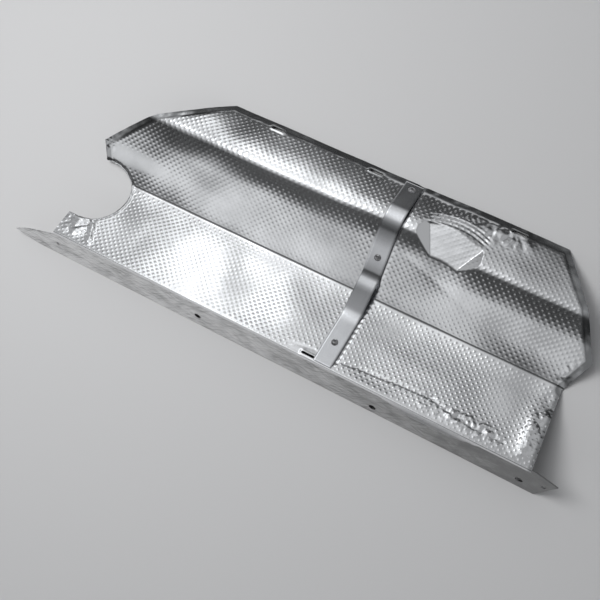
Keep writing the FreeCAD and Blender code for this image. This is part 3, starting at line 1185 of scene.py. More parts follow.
@dataclass
class ShieldPanel:
    """The embossed sheet: wave, outline, notch, slots, hems, stamped flat, lip and crumples."""

    section: WaveSection
    side_sections: tuple[SideSection, ...]
    stamp: Stamp = Stamp()
    emboss: Embossing = Embossing()
    back_left: float = 238.0 * MM
    back_right: float = 183.0 * MM
    left_ridge: float = 313.0 * MM
    right_ridge: float = 225.0 * MM
    left_corner: float = 371.0 * MM
    left_corner_depth: float = 151.0 * MM
    left_tab: float = 362.0 * MM
    left_front: float = 364.0 * MM
    right_corner: float = 255.0 * MM
    right_corner_depth: float = 152.0 * MM
    right_valley: float = 239.0 * MM
    right_front: float = 248.0 * MM
    notch_x: float = -350.0 * MM
    notch_depth: float = 92.0 * MM
    notch_radius: float = 38.0 * MM
    notch_sides: int = 14
    notch_rim: float = 0.7 * MM
    notch_rim_gap: float = 1.5 * MM
    notch_rim_width: float = 1.4 * MM
    notch_crinkle: Ripple = Ripple(0.9, 6 * MM, 4.9)
    hem_width: float = 7.0 * MM
    hem_step: float = -0.25 * MM
    hem_edge: float = 1.2 * MM
    hem_wander: Ripple = Ripple(1.0 * MM, 16 * MM, 6.6)
    hem_crinkle: Ripple = Ripple(0.2 * MM, 8 * MM, 9.4)
    droop_middle: float = 130.0 * MM
    droop_length: float = 116.0 * MM
    droop_height: float = 13.0 * MM
    droop_bulge: float = 1.8 * MM
    droop_rows: int = 9
    droop_crinkle: Ripple = Ripple(0.12, 9 * MM, 1.3)
    slot_length: float = 18.0 * MM
    slot_width: float = 3.0 * MM
    slot_end_sides: int = 5
    back_slots: tuple[float, ...] = mm(-176.0, -47.0, 128.0)
    back_slot_inset: float = 9.0 * MM
    front_slot_x: float = -18.0 * MM
    front_slot_inset: float = 5.0 * MM
    slot_rim: float = 0.4 * MM
    slot_rim_gap: float = 2.1 * MM
    slot_rim_width: float = 1.2 * MM
    strap_half: float = 11.0 * MM
    strap_hold: float = 16.5 * MM
    groove: float = 1.1 * MM
    groove_x: float = 8.8 * MM
    groove_width: float = 3.85 * MM
    groove_start: Pair = mm(4.0, 10.0)
    bridge_reach: float = 26.0 * MM
    crest_hold: Pair = mm(2.0, 14.0)
    slack: tuple[Ripple, ...] = (Ripple(0.7 * MM, 45 * MM, 3.1), Ripple(1.2 * MM, 110 * MM, 8.8))
    sliver: float = 0.2 * MM
    underside_share: float = 0.03
    smooth_angle: float = 60.0
    # Painted shade on the hems, the right end's front edge and the drooping lip
    hem_shade: Pair = (0.7, 1.1)
    hem_shade_change: Pair = mm(200.0, 230.0)
    hem_shade_edge: float = 1.0 * MM
    end_shade: float = 0.8
    end_shade_edge: Pair = mm(2.0, 6.0)
    droop_shade: float = 0.85
    droop_shade_edge: Pair = mm(0.5, 5.0)

    def build(self) -> Piece:
        """Lay the blank, press it, trim it, crumple it, thicken it and emboss it.

        Returns:
            The panel in shop coordinates.
        """
        panel = self._lay_blank()
        blank = places_of(panel)
        set_places(panel, self.section.press(blank[:, 0], blank[:, 1]))
        self._trim(panel)
        self._cut_slots(panel)
        merge_close(panel, self.sliver)
        places = places_of(panel)
        plan, lengths = places[:, :2], self.section.length_at(places[:, 1], places[:, 2])
        self._form(panel, plan, lengths)
        face_count = len(panel.data.polygons)
        dimples = self._mark_lattice(panel, plan, lengths)
        self._mark_painted_shade(panel, plan)
        thicken(panel, self.section.sheet_gauge)
        group = weigh(panel, "dimples", dimples)
        self._thin_underside(panel, face_count)
        apply_modifier(
            panel, "DISPLACE", strength=self.emboss.height, mid_level=0.0,
            vertex_group=group, direction="NORMAL",
        )
        smooth_shade(panel, self.smooth_angle)
        return panel

    def _lay_blank(self) -> Piece:
        """Lay a flat sheet whose lines follow the embossing, and fold marks across it.

        Returns:
            The sheet, with x along the panel and y the length along its section.
        """
        section = self.section
        cells = self.emboss.cells
        cell = self.emboss.pitch / cells
        left, right = -self.left_corner, self.right_corner
        self.lattice_middle = ((left + right) / 2, (section.lip_end + section.full_length) / 2, 0.0)
        side = (right - left + section.full_length - section.lip_end) / math.sqrt(2)
        count = 2 * cells * math.ceil(side / cell / cells / 2)
        bpy.ops.mesh.primitive_grid_add(
            x_subdivisions=count, y_subdivisions=count, size=count * cell,
            location=self.lattice_middle, rotation=(0.0, 0.0, math.pi / 4),
        )
        panel = bpy.context.active_object
        panel.name = "embossed_panel"
        bpy.ops.object.transform_apply(location=True, rotation=True, scale=True)
        x, along, _ = centres_of(panel).T
        outside = (x < left - cell) | (x > right + cell)
        outside |= (along < section.lip_end - cell) | (along > section.full_length + cell)
        drop_faces(panel, outside)
        for end, way in ((section.lip_end, -1), (section.full_length, 1)):
            slice_faces(panel, all_faces(panel), Vector((0, end, 0)), Vector((0, way, 0)), True)
        whole, drooping = self.right_corner + self.left_corner, self.droop_length / 2
        rows = np.linspace(section.lip_end, section.arc_start, self.droop_rows)[1:-1]
        folds = [(fold, drooping) for fold in rows]
        folds += [(fold, whole) for fold in np.linspace(section.arc_start, section.crest_radius, 4)]
        folds += [(fold, whole) for fold in section.valley_folds]
        for fold, reach in folds:
            x, along, _ = centres_of(panel).T
            near = (np.abs(along - fold) < 2 * cell) & (np.abs(x - self.droop_middle) < reach)
            slice_faces(panel, near, Vector((0, float(fold), 0)), Vector((0, 1, 0)))
        return panel

    def _corners(self) -> list[Pair]:
        """Give the outline's corners, from the right end's front round the back to the notch.

        Returns:
            The x and y of each corner.
        """
        section = self.section
        return [
            (self.right_front, 0.0),
            (self.right_valley, section.valley_y),
            (self.right_corner, self.right_corner_depth),
            (self.right_ridge, section.ridge_y),
            (self.back_right, section.back_y),
            (-self.back_left, section.back_y),
            (-self.left_ridge, section.ridge_y),
            (-self.left_corner, self.left_corner_depth),
            (-self.left_tab, self.notch_depth + self.notch_radius),
        ]

    def _trim(self, panel: Piece) -> None:
        """Trim the sheet's ends and its notch, square to the floor.

        Args:
            panel: The pressed sheet.
        """
        section = self.section
        far = section.back_y + self.hem_width
        corners = self._corners()
        right, left = corners[4::-1], corners[5:]
        front = ((-self.left_front, 0.0), (-self.left_front, self.notch_depth))
        lines = [*zip(right, right[1:]), *zip(left[1:], left), front]
        right_marks = (far, section.ridge_y, self.right_corner_depth, section.valley_y, -far)
        left_marks = (far, section.ridge_y, self.left_corner_depth, self.notch_depth, -far)
        bands = [*zip(right_marks, right_marks[1:]), *zip(left_marks, left_marks[1:])]
        margin = 2 * self.emboss.pitch
        x = centres_of(panel)[:, 0]
        ends = part_off(panel, (x < margin - self.back_left) | (x > self.back_right - margin))
        for (start, stop), (high, low) in zip(lines, bands):
            for depth in (low, high):
                near = np.abs(centres_of(ends)[:, 1] - depth) < self.emboss.pitch
                slice_faces(ends, near, Vector((0, depth, 0)), Vector((0, 1, 0)))
            x, y, _ = centres_of(ends).T
            point = Vector((*start, 0))
            outward = (Vector((*stop, 0)) - point).cross(UP).normalized()
            outward *= math.copysign(1.0, outward.x * start[0])
            slice_faces(ends, (y > low) & (y < high) & (x * start[0] > 0), point, outward, True)
        self._cut_notch(ends)
        join_back(panel, ends)

    def _cut_notch(self, panel: Piece) -> None:
        """Cut the round notch in the left end.

        Args:
            panel: The pressed sheet, or the part of it that has the notch.
        """
        outside = self.notch_x - self.left_corner
        low, high = self.notch_depth - self.notch_radius, self.notch_depth + self.notch_radius
        outline = [Vector((outside, high, 0)), Vector((outside, low, 0))]
        for angle in np.linspace(-math.pi / 2, math.pi / 2, self.notch_sides + 1):
            x = self.notch_x + self.notch_radius * math.cos(angle)
            outline.append(Vector((x, self.notch_depth + self.notch_radius * math.sin(angle), 0)))
        punch(panel, outline, UP)

    def _slot_spots(self) -> list[Pair]:
        """Give each slot's place along the panel and its length along the section."""
        back = [(x, self.section.full_length - self.back_slot_inset) for x in self.back_slots]
        return [*back, (self.front_slot_x, self.front_slot_inset)]

    def _cut_slots(self, panel: Piece) -> None:
        """Cut the round-ended slots, square to the face.

        Args:
            panel: The pressed sheet.
        """
        radius = self.slot_width / 2
        straight = (self.slot_length - self.slot_width) / 2
        along = Vector((1, 0, 0))
        for x, length in self._slot_spots():
            place, across, normal = self.section.spot(x, length)
            outline = []
            for side, start in ((1.0, -math.pi / 2), (-1.0, math.pi / 2)):
                for angle in np.linspace(start, start + math.pi, self.slot_end_sides):
                    reach = side * straight + radius * math.cos(angle)
                    outline.append(place + along * reach + across * radius * math.sin(angle))
            punch(panel, outline, normal)

    def _form(self, panel: Piece, plan: np.ndarray, lengths: np.ndarray) -> None:
        """Give the sheet its droop, its stamped flat, its hems and its crumples.

        Args:
            panel: The trimmed sheet.
            plan: Each vertex's x and y.
            lengths: Each vertex's length along the section.
        """
        section = self.section
        x = plan[:, 0]
        lip = np.clip((section.arc_start - lengths) / section.lip_length, 0.0, 1.0)
        hang = np.clip(1.0 - ((x - self.droop_middle) / (self.droop_length / 2)) ** 2, 0.0, 1.0)
        self.droop = self.droop_height * hang * lip
        blank = np.column_stack((x, lengths))
        free = 1.0 - np.exp(-((x / self.strap_hold) ** 2))
        loose = sum(form.over(blank) for form in self.slack)
        loose += sum(form.lift(plan) for form in (*CRUMPLES, *DENTS, *CREASES))
        lift = free * rise(*self.crest_hold, lengths) * loose
        lift += self._hem_lift(plan, blank) + self._slot_rims(blank) + self._notch_rim(plan)
        lift += self._strap_groove(blank) + self.stamp.rings(plan, section.ridge_y)
        lift += self.droop * self.droop_crinkle.over(np.column_stack((x, lengths - self.droop)))
        lift += self.droop_bulge * 4 * lip * (1.0 - lip) * hang
        places = section.press(x, lengths, lift)
        for side in self.side_sections:
            forms = (section, side.section)
            marks = [(form.lip_end, 0.0, form.valley_fold, form.full_length) for form in forms]
            moved = side.section.press(x, np.interp(lengths, *marks), lift)
            places += rise(side.start, side.stop, x)[:, None] * (moved - places)
        places[:, 1] -= self.droop * math.sin(section.lean)
        places[:, 2] -= self.droop * math.cos(section.lean)
        tool = self.stamp.face(plan, section.ridge_y)
        self.stamped = places[:, 2] > tool
        places[:, 2] = np.minimum(places[:, 2], tool)
        set_places(panel, places)

    def _hem_gap(self, plan: np.ndarray) -> np.ndarray:
        """Measure how far each x and y is from the hemmed edges, in plan."""
        corners = self._corners()[1:]
        return np.min([away_from(plan, a, b) for a, b in zip(corners, corners[1:])], axis=0)

    def _hem_lift(self, plan: np.ndarray, blank: np.ndarray) -> np.ndarray:
        """Give the height of the hems' folded band, which is pressed flat but a little crinkled.

        Args:
            plan: Each vertex's x and y.
            blank: Each vertex's x and its length along the section.

        Returns:
            The height at each vertex.
        """
        gap = self._hem_gap(plan) + self.hem_wander.over(blank)
        band = 1.0 - rise(self.hem_width - self.hem_edge, self.hem_width + self.hem_edge, gap)
        return band * (self.hem_step + self.hem_crinkle.over(blank))

    def _slot_gap(self, blank: np.ndarray) -> np.ndarray:
        """Measure how far each x and length is from the slots' middle lines, along the sheet.

        Args:
            blank: Each vertex's x and its length along the section.

        Returns:
            The distance of each vertex.
        """
        straight = (self.slot_length - self.slot_width) / 2
        lines = [((x - straight, length), (x + straight, length)) for x, length in self._slot_spots()]
        return np.min([away_from(blank, start, stop) for start, stop in lines], axis=0)

    def _slot_rims(self, blank: np.ndarray) -> np.ndarray:
        """Give the height, at each x and length, of the rims that piercing raised round the slots."""
        away = (self._slot_gap(blank) - self.slot_rim_gap) / self.slot_rim_width
        return self.slot_rim * np.exp(-(away**2))

    def _notch_rim(self, plan: np.ndarray) -> np.ndarray:
        """Give the height, at each x and y, of the crinkled rim round the notch.

        Args:
            plan: One row of x and y for each point.

        Returns:
            The height at each point.
        """
        gap = np.linalg.norm(plan - np.array((self.notch_x, self.notch_depth)), axis=1) - self.notch_radius
        rim = np.exp(-(((gap - self.notch_rim_gap) / self.notch_rim_width) ** 2))
        return self.notch_rim * rim * (1.0 + self.notch_crinkle.over(plan))

    def _strap_groove(self, blank: np.ndarray) -> np.ndarray:
        """Give the height, at each x and length, of the sheet where it dips under the strap's right edge.

        Args:
            blank: Each vertex's x and its length along the section.

        Returns:
            The height at each vertex.
        """
        dip = np.exp(-(((blank[:, 0] - self.groove_x) / self.groove_width) ** 2))
        bridged = np.exp(-(((blank[:, 1] - self.section.valley_folds[0]) / self.bridge_reach) ** 2))
        return -self.groove * dip * rise(*self.groove_start, blank[:, 1]) * (1.0 - bridged)

    def _mark_lattice(self, panel: Piece, plan: np.ndarray, lengths: np.ndarray) -> np.ndarray:
        """Mark where the embossing's domes are and how crisp they are, for the finish.

        Args:
            panel: The formed sheet.
            plan: Each vertex's x and y.
            lengths: Each vertex's length along the section.

        Returns:
            The height of the domes as a share of their full height, for each vertex.
        """
        along = (plan[:, 0] - self.lattice_middle[0]) / math.sqrt(2)
        across = (lengths - self.droop - self.lattice_middle[1]) / math.sqrt(2)
        lattice = np.column_stack((along + across, across - along)) / self.emboss.pitch
        mesh = panel.data
        layer = mesh.uv_layers[0]
        layer.name = LATTICE
        corners = np.empty(len(mesh.loops), np.int32)
        mesh.loops.foreach_get("vertex_index", corners)
        layer.uv.foreach_set("vector", lattice[corners].astype(np.float32).ravel())
        share = self._embossed_share(plan, lengths)
        mark(panel, EMBOSSING, share * self.emboss.crispness(plan, self.section))
        return share * self.emboss.dome(lattice)

    def _mark_painted_shade(self, panel: Piece, plan: np.ndarray) -> None:
        """Mark the painted shade on the hems, along the right end's front edge and on the drooping lip, for
        the finish.

        Args:
            panel: The formed sheet.
            plan: Each vertex's x and y.
        """
        # Painted shade: darker hems, darkest at the right end, a dark line along the right end's front edge,
        # and a darker drooping lip
        low, high = self.hem_width - self.hem_shade_edge, self.hem_width + self.hem_shade_edge
        hem = 1.0 - rise(low, high, self._hem_gap(plan))
        hem *= mix(*self.hem_shade, rise(*self.hem_shade_change, plan[:, 0]))
        front, valley = self._corners()[:2]
        end = self.end_shade * (1.0 - rise(*self.end_shade_edge, away_from(plan, valley, front)))
        droop = self.droop_shade * rise(*self.droop_shade_edge, self.droop)
        mark(panel, PAINTED_SHADE, np.max((hem, end, droop), axis=0))

    def _embossed_share(self, plan: np.ndarray, lengths: np.ndarray) -> np.ndarray:
        """Work out how much of the embossing is left after hems, rims, strap, stamp and crumples.

        Args:
            plan: Each vertex's x and y.
            lengths: Each vertex's length along the section.

        Returns:
            A share for each vertex.
        """
        emboss, section = self.emboss, self.section
        blank = np.column_stack((plan[:, 0], lengths))
        share = rise(self.hem_width, self.hem_width + emboss.margin, self._hem_gap(plan))
        share *= rise(self.strap_half, self.strap_half + emboss.margin, np.abs(plan[:, 0]))
        crest = rise(section.crest_radius, emboss.crest_clear, lengths)
        share *= np.maximum(crest, rise(*emboss.droop_clear, self.droop))
        share *= rise(self.slot_width, 2 * self.slot_width, self._slot_gap(blank))
        for middle, reach in emboss.smooth_patches:
            away = np.linalg.norm((plan - np.array(middle)) / np.array(reach), axis=1)
            share *= rise(*emboss.patch_edge, away)
        for crumple in CRUMPLES:
            share *= 1.0 - emboss.crumple_loss * crumple.share(plan)
        share *= np.where(self.stamped, emboss.stamp_loss, 1.0)
        share *= rise(*emboss.fold_clear, np.abs(lengths - section.valley_fold))
        share *= 1.0 - emboss.pressed_loss * emboss.pressed_flat(plan, section)
        share *= emboss.level + emboss.fading.over(blank)
        return np.clip(share, 0.0, 1.0)

    def _thin_underside(self, panel: Piece, face_count: int) -> None:
        """Take most of the faces off the smooth underside.

        Args:
            panel: The thickened sheet, whose top faces come first and its underside next.
            face_count: How many faces the top has.
        """
        order = np.arange(len(panel.data.polygons))
        edit_faces(panel, (order >= face_count) & (order < 2 * face_count))
        bpy.ops.mesh.decimate(ratio=self.underside_share)
        leave_edit()


@dataclass
class CrossStrap:
    """The plain bar over the panel: bent along the wave, bridging the valley, with softened edges and painted
    shade on its sides.
    """

    section: WaveSection
    gauge: float = 1.5 * MM
    width: float = 22.0 * MM
    front_gap: float = 2.5 * MM
    back_gap: float = 4.0 * MM
    edge: float = 0.3 * MM
    waviness: Ripple = Ripple(0.12 * MM, 24 * MM, 7.7)
    cells: tuple[int, int] = (10, 150)
    smooth_angle: float = 40.0

    def build(self) -> Piece:
        """Bend a flat bar over the panel.

        Returns:
            The strap in shop coordinates.
        """
        half = self.width / 2
        stop = self.section.full_length - self.back_gap
        strap = lay_grid("bent_strap", (-half, self.front_gap), (half, stop), self.cells)
        blank = places_of(strap)
        lift = self.gauge + self.waviness.over(blank[:, :2])
        set_places(strap, self.section.press(blank[:, 0], blank[:, 1], lift))
        thicken(strap, self.gauge)
        soften_edges(strap, self.edge)
        smooth_shade(strap, self.smooth_angle)
        # Painted shade: the strap's sides are darkened to the strip's dark colour, standing in for the
        # shadowed gap beside them
        mark(strap, PAINTED_SHADE, np.abs(places_of(strap)[:, 0]) > half - self.edge / 4)
        return strap


@dataclass
class MountingRail:
    """The strip that the panel hooks over: drawn-out ends, bolt holes and a gentle buckle, leaning back."""

    section: WaveSection
    left_foot: float = -399.0 * MM
    left_tip: Pair = mm(-435.0, 9.0)
    left_shoulder: Pair = mm(-414.0, 23.0)
    left_taper: float = -348.0 * MM
    right_taper: float = 252.0 * MM
    right_tip: Pair = mm(277.0, 42.0)
    right_foot: float = 258.0 * MM
    bolt_holes: tuple[Pair, ...] = (mm(-164.0, 20.0), mm(65.0, 12.0), mm(239.0, 17.0))
    bolt_radius: float = 4.3 * MM
    end_holes: tuple[Pair, ...] = (mm(-364.0, 25.0), mm(264.0, 28.0))
    end_radius: float = 2.8 * MM
    hole_sides: int = 24
    edge: float = 0.25 * MM
    buckle: Ripple = Ripple(0.35 * MM, 28 * MM, 5.3)
    buckle_stretch: Pair = (0.4, 1.0)
    foot_hold: float = 12.0 * MM
    crest_hold: float = 10.0 * MM
    cell: float = 4.0 * MM
    sliver: float = 0.05 * MM
    smooth_angle: float = 40.0

    def build(self) -> Piece:
        """Cut the strip to its outline, punch it, thicken it and lean it back.

        Returns:
            The rail in shop coordinates.
        """
        height = self.section.rail_height
        left, right = self.left_tip[0], self.right_tip[0]
        cells = (round((right - left) / self.cell), round(height / self.cell))
        rail = lay_grid("leaning_rail", (left, 0.0), (right, height), cells)
        self._trim_ends(rail)
        for holes, radius in ((self.bolt_holes, self.bolt_radius), (self.end_holes, self.end_radius)):
            for x, up in holes:
                punch(rail, self._circle(x, up, radius), UP)
        merge_close(rail, self.sliver)
        self._lean(rail)
        thicken(rail, self.section.rail_gauge)
        soften_edges(rail, self.edge)
        smooth_shade(rail, self.smooth_angle)
        return rail

    def _trim_ends(self, rail: Piece) -> None:
        """Cut the drawn-out ends.

        Args:
            rail: The flat strip, which has x along it and y up it.
        """
        height = self.section.rail_height
        outline = (
            (self.right_foot, 0.0), self.right_tip, (self.right_taper, height),
            (self.left_taper, height), self.left_shoulder, self.left_tip, (self.left_foot, 0.0),
        )
        for start, stop in zip(outline, outline[1:]):
            point = Vector((*start, 0.0))
            outward = (Vector((*stop, 0.0)) - point).cross(UP).normalized()
            slice_faces(rail, all_faces(rail), point, outward, True)

    def _circle(self, x: float, up: float, radius: float) -> list[Vector]:
        """Give the corners of a hole, counterclockwise, by its place along and up the rail and its radius."""
        angles = np.arange(self.hole_sides) * FULL_TURN / self.hole_sides
        return [Vector((x + radius * math.cos(a), up + radius * math.sin(a), 0.0)) for a in angles]

    def _lean(self, rail: Piece) -> None:
        """Buckle the strip a little and lean it back on its lower edge.

        Args:
            rail: The flat strip.
        """
        section = self.section
        flat = places_of(rail)
        x, up = flat[:, 0], flat[:, 1]
        held = rise(0.0, self.foot_hold, up) * rise(0.0, self.crest_hold, section.rail_height - up)
        out = held * self.buckle.over(flat[:, :2] * self.buckle_stretch)
        y = up * math.sin(section.lean) - out * math.cos(section.lean)
        z = section.rail_lift + up * math.cos(section.lean) + out * math.sin(section.lean)
        set_places(rail, np.column_stack((x, y, z)))


class RivetSpot(Enum):
    """The solids of the three rivets."""

    FRONT = "front_rivet"
    MIDDLE = "middle_rivet"
    BACK = "back_rivet"


@dataclass
class BlindRivets:
    """The three blind rivets: flanged head, hollow with the snapped stem in it, shank and set tail."""

    section: WaveSection
    seat: float = 1.5 * MM
    head_radius: float = 4.0 * MM
    head_height: float = 1.8 * MM
    head_chamfer: Pair = mm(0.1, 0.15)
    rim_height: float = 0.5 * MM
    dome_points: int = 6
    hollow_radius: float = 1.5 * MM
    hollow_depth: float = 1.3 * MM
    hollow_lip: float = 1.35 * MM
    hollow_foot: float = 1.275 * MM
    stem_radius: float = 0.95 * MM
    stem_height: float = 0.5 * MM
    stem_tip: float = 0.65 * MM
    shank_radius: float = 2.0 * MM
    tail_radius: float = 3.2 * MM
    tail_height: float = 2.0 * MM
    tail_end_radius: float = 2.24 * MM
    tail_neck_radius: float = 2.88 * MM
    tail_rounding: Pair = mm(0.6, 0.3)
    front_distance: float = 32.0 * MM
    middle_distance: float = 50.0 * MM
    back_distance: float = 14.0 * MM
    turns: int = 32
    merge_gap: float = 0.01 * MM
    smooth_angle: float = 35.0

    def build(self) -> dict[RivetSpot, Piece]:
        """Turn one rivet and copy it to the three spots.

        Returns:
            The rivets in shop coordinates, by their spots.
        """
        master = self._turn_rivet()
        rivets = {}
        for spot in RivetSpot:
            rivet = master.copy()
            rivet.data = master.data.copy()
            rivet.name = f"blind_{spot.value}"
            bpy.context.scene.collection.objects.link(rivet)
            rivet.data.transform(self._stand(spot))
            rivets[spot] = rivet
        bpy.data.objects.remove(master)
        return rivets

    def _profile(self) -> list[Pair]:
        """Give the rivet's half section, from the end of its tail to the top of its stem.

        Returns:
            The radius and height of each point.
        """
        under = -self.section.sheet_gauge
        tail_end = under - self.tail_height
        rim = self.seat + self.rim_height
        top = self.seat + self.head_height
        floor = top - self.hollow_depth
        shares = np.linspace(0.0, 1.0, self.dome_points)
        radii = mix(self.head_radius, self.hollow_radius, shares)
        heights = mix(rim, top, np.sin(shares * math.pi / 2))
        return [
            (0.0, tail_end),
            (self.tail_end_radius, tail_end),
            (self.tail_radius, tail_end + self.tail_rounding[0]),
            (self.tail_radius, under - self.tail_rounding[1]),
            (self.tail_neck_radius, under),
            (self.shank_radius, under),
            (self.shank_radius, self.seat),
            (self.head_radius - self.head_chamfer[0], self.seat),
            (self.head_radius, self.seat + self.head_chamfer[1]),
            *zip(radii.tolist(), heights.tolist()),
            (self.hollow_lip, top - self.head_chamfer[1]),
            (self.hollow_foot, floor),
            (self.stem_radius, floor),
            (self.stem_radius, floor + self.stem_height),
            (0.0, floor + self.stem_tip),
        ]

    def _turn_rivet(self) -> Piece:
        """Draw the half section by extruding a point, and spin it.

        Returns:
            An upright rivet whose panel's top face is at z = 0.
        """
        profile = self._profile()
        bpy.ops.object.select_all(action="DESELECT")
        bpy.ops.mesh.primitive_plane_add(size=1.0)
        rivet = bpy.context.active_object
        bpy.context.tool_settings.mesh_select_mode = (True, False, False)
        bpy.ops.object.mode_set(mode="EDIT")
        bpy.ops.mesh.select_all(action="SELECT")
        bpy.ops.mesh.merge(type="CENTER")
        bpy.ops.transform.translate(value=(profile[0][0], 0.0, profile[0][1]))
        for (x0, z0), (x1, z1) in zip(profile, profile[1:]):
            bpy.ops.mesh.extrude_region_move(TRANSFORM_OT_translate={"value": (x1 - x0, 0.0, z1 - z0)})
        bpy.ops.mesh.select_all(action="SELECT")
        bpy.ops.mesh.spin(steps=self.turns, angle=FULL_TURN, center=(0, 0, 0), axis=(0, 0, 1))
        bpy.ops.mesh.select_all(action="SELECT")
        bpy.ops.mesh.remove_doubles(threshold=self.merge_gap)
        bpy.ops.mesh.normals_make_consistent(inside=False)
        leave_edit()
        smooth_shade(rivet, self.smooth_angle)
        return rivet

    def _stand(self, spot: RivetSpot) -> Matrix:
        """Give the turn and place that stand a rivet on the panel's top face.

        Args:
            spot: Which rivet.

        Returns:
            The matrix.
        """
        section = self.section
        if spot is RivetSpot.FRONT:
            tilt, y, z, run = -section.drop, section.crest_y, section.crest_z, self.front_distance
        elif spot is RivetSpot.MIDDLE:
            tilt, y, z, run = section.climb, section.valley_y, section.valley_z, self.middle_distance
        else:
            tilt, y, z, run = -section.back, section.back_y, section.back_z, -self.back_distance
        place = Vector((0.0, y + run * math.cos(tilt), z + run * math.sin(tilt)))
        return Matrix.Translation(place) @ Matrix.Rotation(tilt, 4, "X")


# The studio


@dataclass(frozen=True)
class Pane:
    """A soft bright patch of the surroundings, by where it starts, is full, fades and ends.

    Angles are in degrees from the front horizon over the top, and sides are from -1 on the left to 1.
    """

    angles: tuple[float, float, float, float]
    sides: tuple[float, float, float, float]
    level: float


@dataclass
class Studio:
    """The floor, the lights and the camera."""

    camera_place: Triple = (0.2928, -0.01424, 1.0407)
    camera_aim: Triple = (0.01346, -0.04896, 0.0)
    picture_up: float = math.radians(116.2)
    lens: float = 56.04
    sensor: float = 36.0
    floor_size: float = 30.0
    floor_colour: Triple = (0.58, 0.58, 0.585)
    floor_roughness: float = 0.7
    wall_level: float = 0.4
    wall_top: Pair = (0.05, 0.12)
    light_colour: Triple = (0.985, 1.0, 1.02)
    lamp_place: Triple = (-0.6, 0.15, 1.1)
    lamp_size: float = 0.7
    lamp_power: float = 9.5
    fill_strength: float = 0.45
    fill_angle: float = math.radians(40.0)
    bands: tuple[Pair, ...] = (
        (0, 0.5), (36, 0.7), (47, 0.66), (52, 0.42), (57, 0.1), (61, 0.06), (70, 0.08), (85, 0.17),
        (100, 0.42), (108, 0.6), (131, 0.65), (139, 0.65), (146, 0.62), (152.5, 0.44), (157, 0.26),
        (162, 0.06), (180, 0.045),
    )
    sides: tuple[Pair, ...] = (
        (-1.0, 0.8), (-0.7, 0.6), (-0.55, 0.42), (-0.47, 0.55), (-0.39, 1.1), (-0.3, 1.12), (-0.275, 0.93),
        (-0.22, 0.89), (-0.1, 0.87), (-0.04, 0.7), (0.02, 0.5), (0.12, 0.5), (0.3, 0.6), (1.0, 0.6),
    )
    panes: tuple[Pane, ...] = (
        Pane((134.0, 140.0, 152.0, 158.0), (-0.43, -0.39, -0.305, -0.28), 0.8),
        Pane((100.0, 108.0, 131.0, 140.0), (-0.6, -0.45, -0.2, 0.02), 0.3),
        Pane((113.0, 117.0, 123.0, 127.0), (-0.42, -0.38, -0.31, -0.28), 2.3),
        Pane((20.0, 28.0, 44.0, 52.0), (-0.75, -0.6, -0.46, -0.38), 0.3),
    )

    def build(self) -> None:
        """Lay the floor, light it and stand the camera."""
        self._lay_floor()
        self._hang_lamps()
        self._surround()
        self._stand_camera()

    def _lay_floor(self) -> None:
        """Lay a plain pale floor under the object."""
        bpy.ops.object.select_all(action="DESELECT")
        bpy.ops.mesh.primitive_plane_add(size=self.floor_size)
        floor = bpy.context.active_object
        floor.name = "floor"
        material = bpy.data.materials.new("pale_floor")
        material.use_nodes = True
        shader = material.node_tree.nodes["Principled BSDF"]
        shader.inputs["Base Color"].default_value = (*self.floor_colour, 1.0)
        shader.inputs["Roughness"].default_value = self.floor_roughness
        floor.data.materials.append(material)

    def _hang_lamps(self) -> None:
        """Hang a broad lamp on the left, and an even fill from there, which the metal doesn't mirror."""
        bpy.ops.object.light_add(type="AREA", location=self.lamp_place)
        lamp = bpy.context.active_object
        lamp.name = "soft_lamp"
        lamp.data.shape = "DISK"
        lamp.data.size = self.lamp_size
        lamp.data.energy = self.lamp_power
        lamp.rotation_euler = Vector(self.lamp_place).to_track_quat("Z", "Y").to_euler()
        lamp.visible_glossy = False
        bpy.ops.object.light_add(type="SUN", rotation=lamp.rotation_euler)
        fill = bpy.context.active_object
        fill.name = "even_fill"
        fill.data.energy = self.fill_strength
        fill.data.angle = self.fill_angle
        fill.visible_glossy = False

    def _surround(self) -> None:
        """Make a pale wall all round and, over it, bands: bright front, dark ceiling, lights, dark back."""
        world = bpy.data.worlds.new("studio")
        bpy.context.scene.world = world
        world.use_nodes = True
        board = NodeBoard(world.node_tree)
        direction = board.add("ShaderNodeTexCoord").outputs["Generated"]
        parts = board.add("ShaderNodeSeparateXYZ", {"Vector": direction}).outputs
        angle = board.math("ARCTAN2", parts["Z"], board.math("MULTIPLY", parts["Y"], -1.0))
        round_share = board.math("DIVIDE", angle, math.pi)
        side_share = board.spread(parts["X"], (-1.0, 1.0), (0.0, 1.0))
        bands = self._ramp(board, round_share, [(degrees / 180, level) for degrees, level in self.bands])
        sides = self._ramp(board, side_share, [((side + 1) / 2, level) for side, level in self.sides])
        glow = board.math("MULTIPLY", bands, sides)
        for pane in self.panes:
            height = self._step(board, round_share, [angle / 180 for angle in pane.angles])
            width = self._step(board, side_share, [(side + 1) / 2 for side in pane.sides])
            bright = board.math("MULTIPLY", board.math("MULTIPLY", height, width), pane.level)
            glow = board.math("ADD", glow, bright)
        over_wall = board.spread(parts["Z"], self.wall_top, (0.0, 1.0), "SMOOTHSTEP")
        wall = board.math("MULTIPLY", board.math("SUBTRACT", 1.0, over_wall), self.wall_level)
        glow = board.math("ADD", board.math("MULTIPLY", glow, over_wall), wall)
        room = board.add("ShaderNodeBackground", {"Color": (*self.light_colour, 1.0), "Strength": glow})
        board.add("ShaderNodeOutputWorld", {"Surface": room.outputs["Background"]})

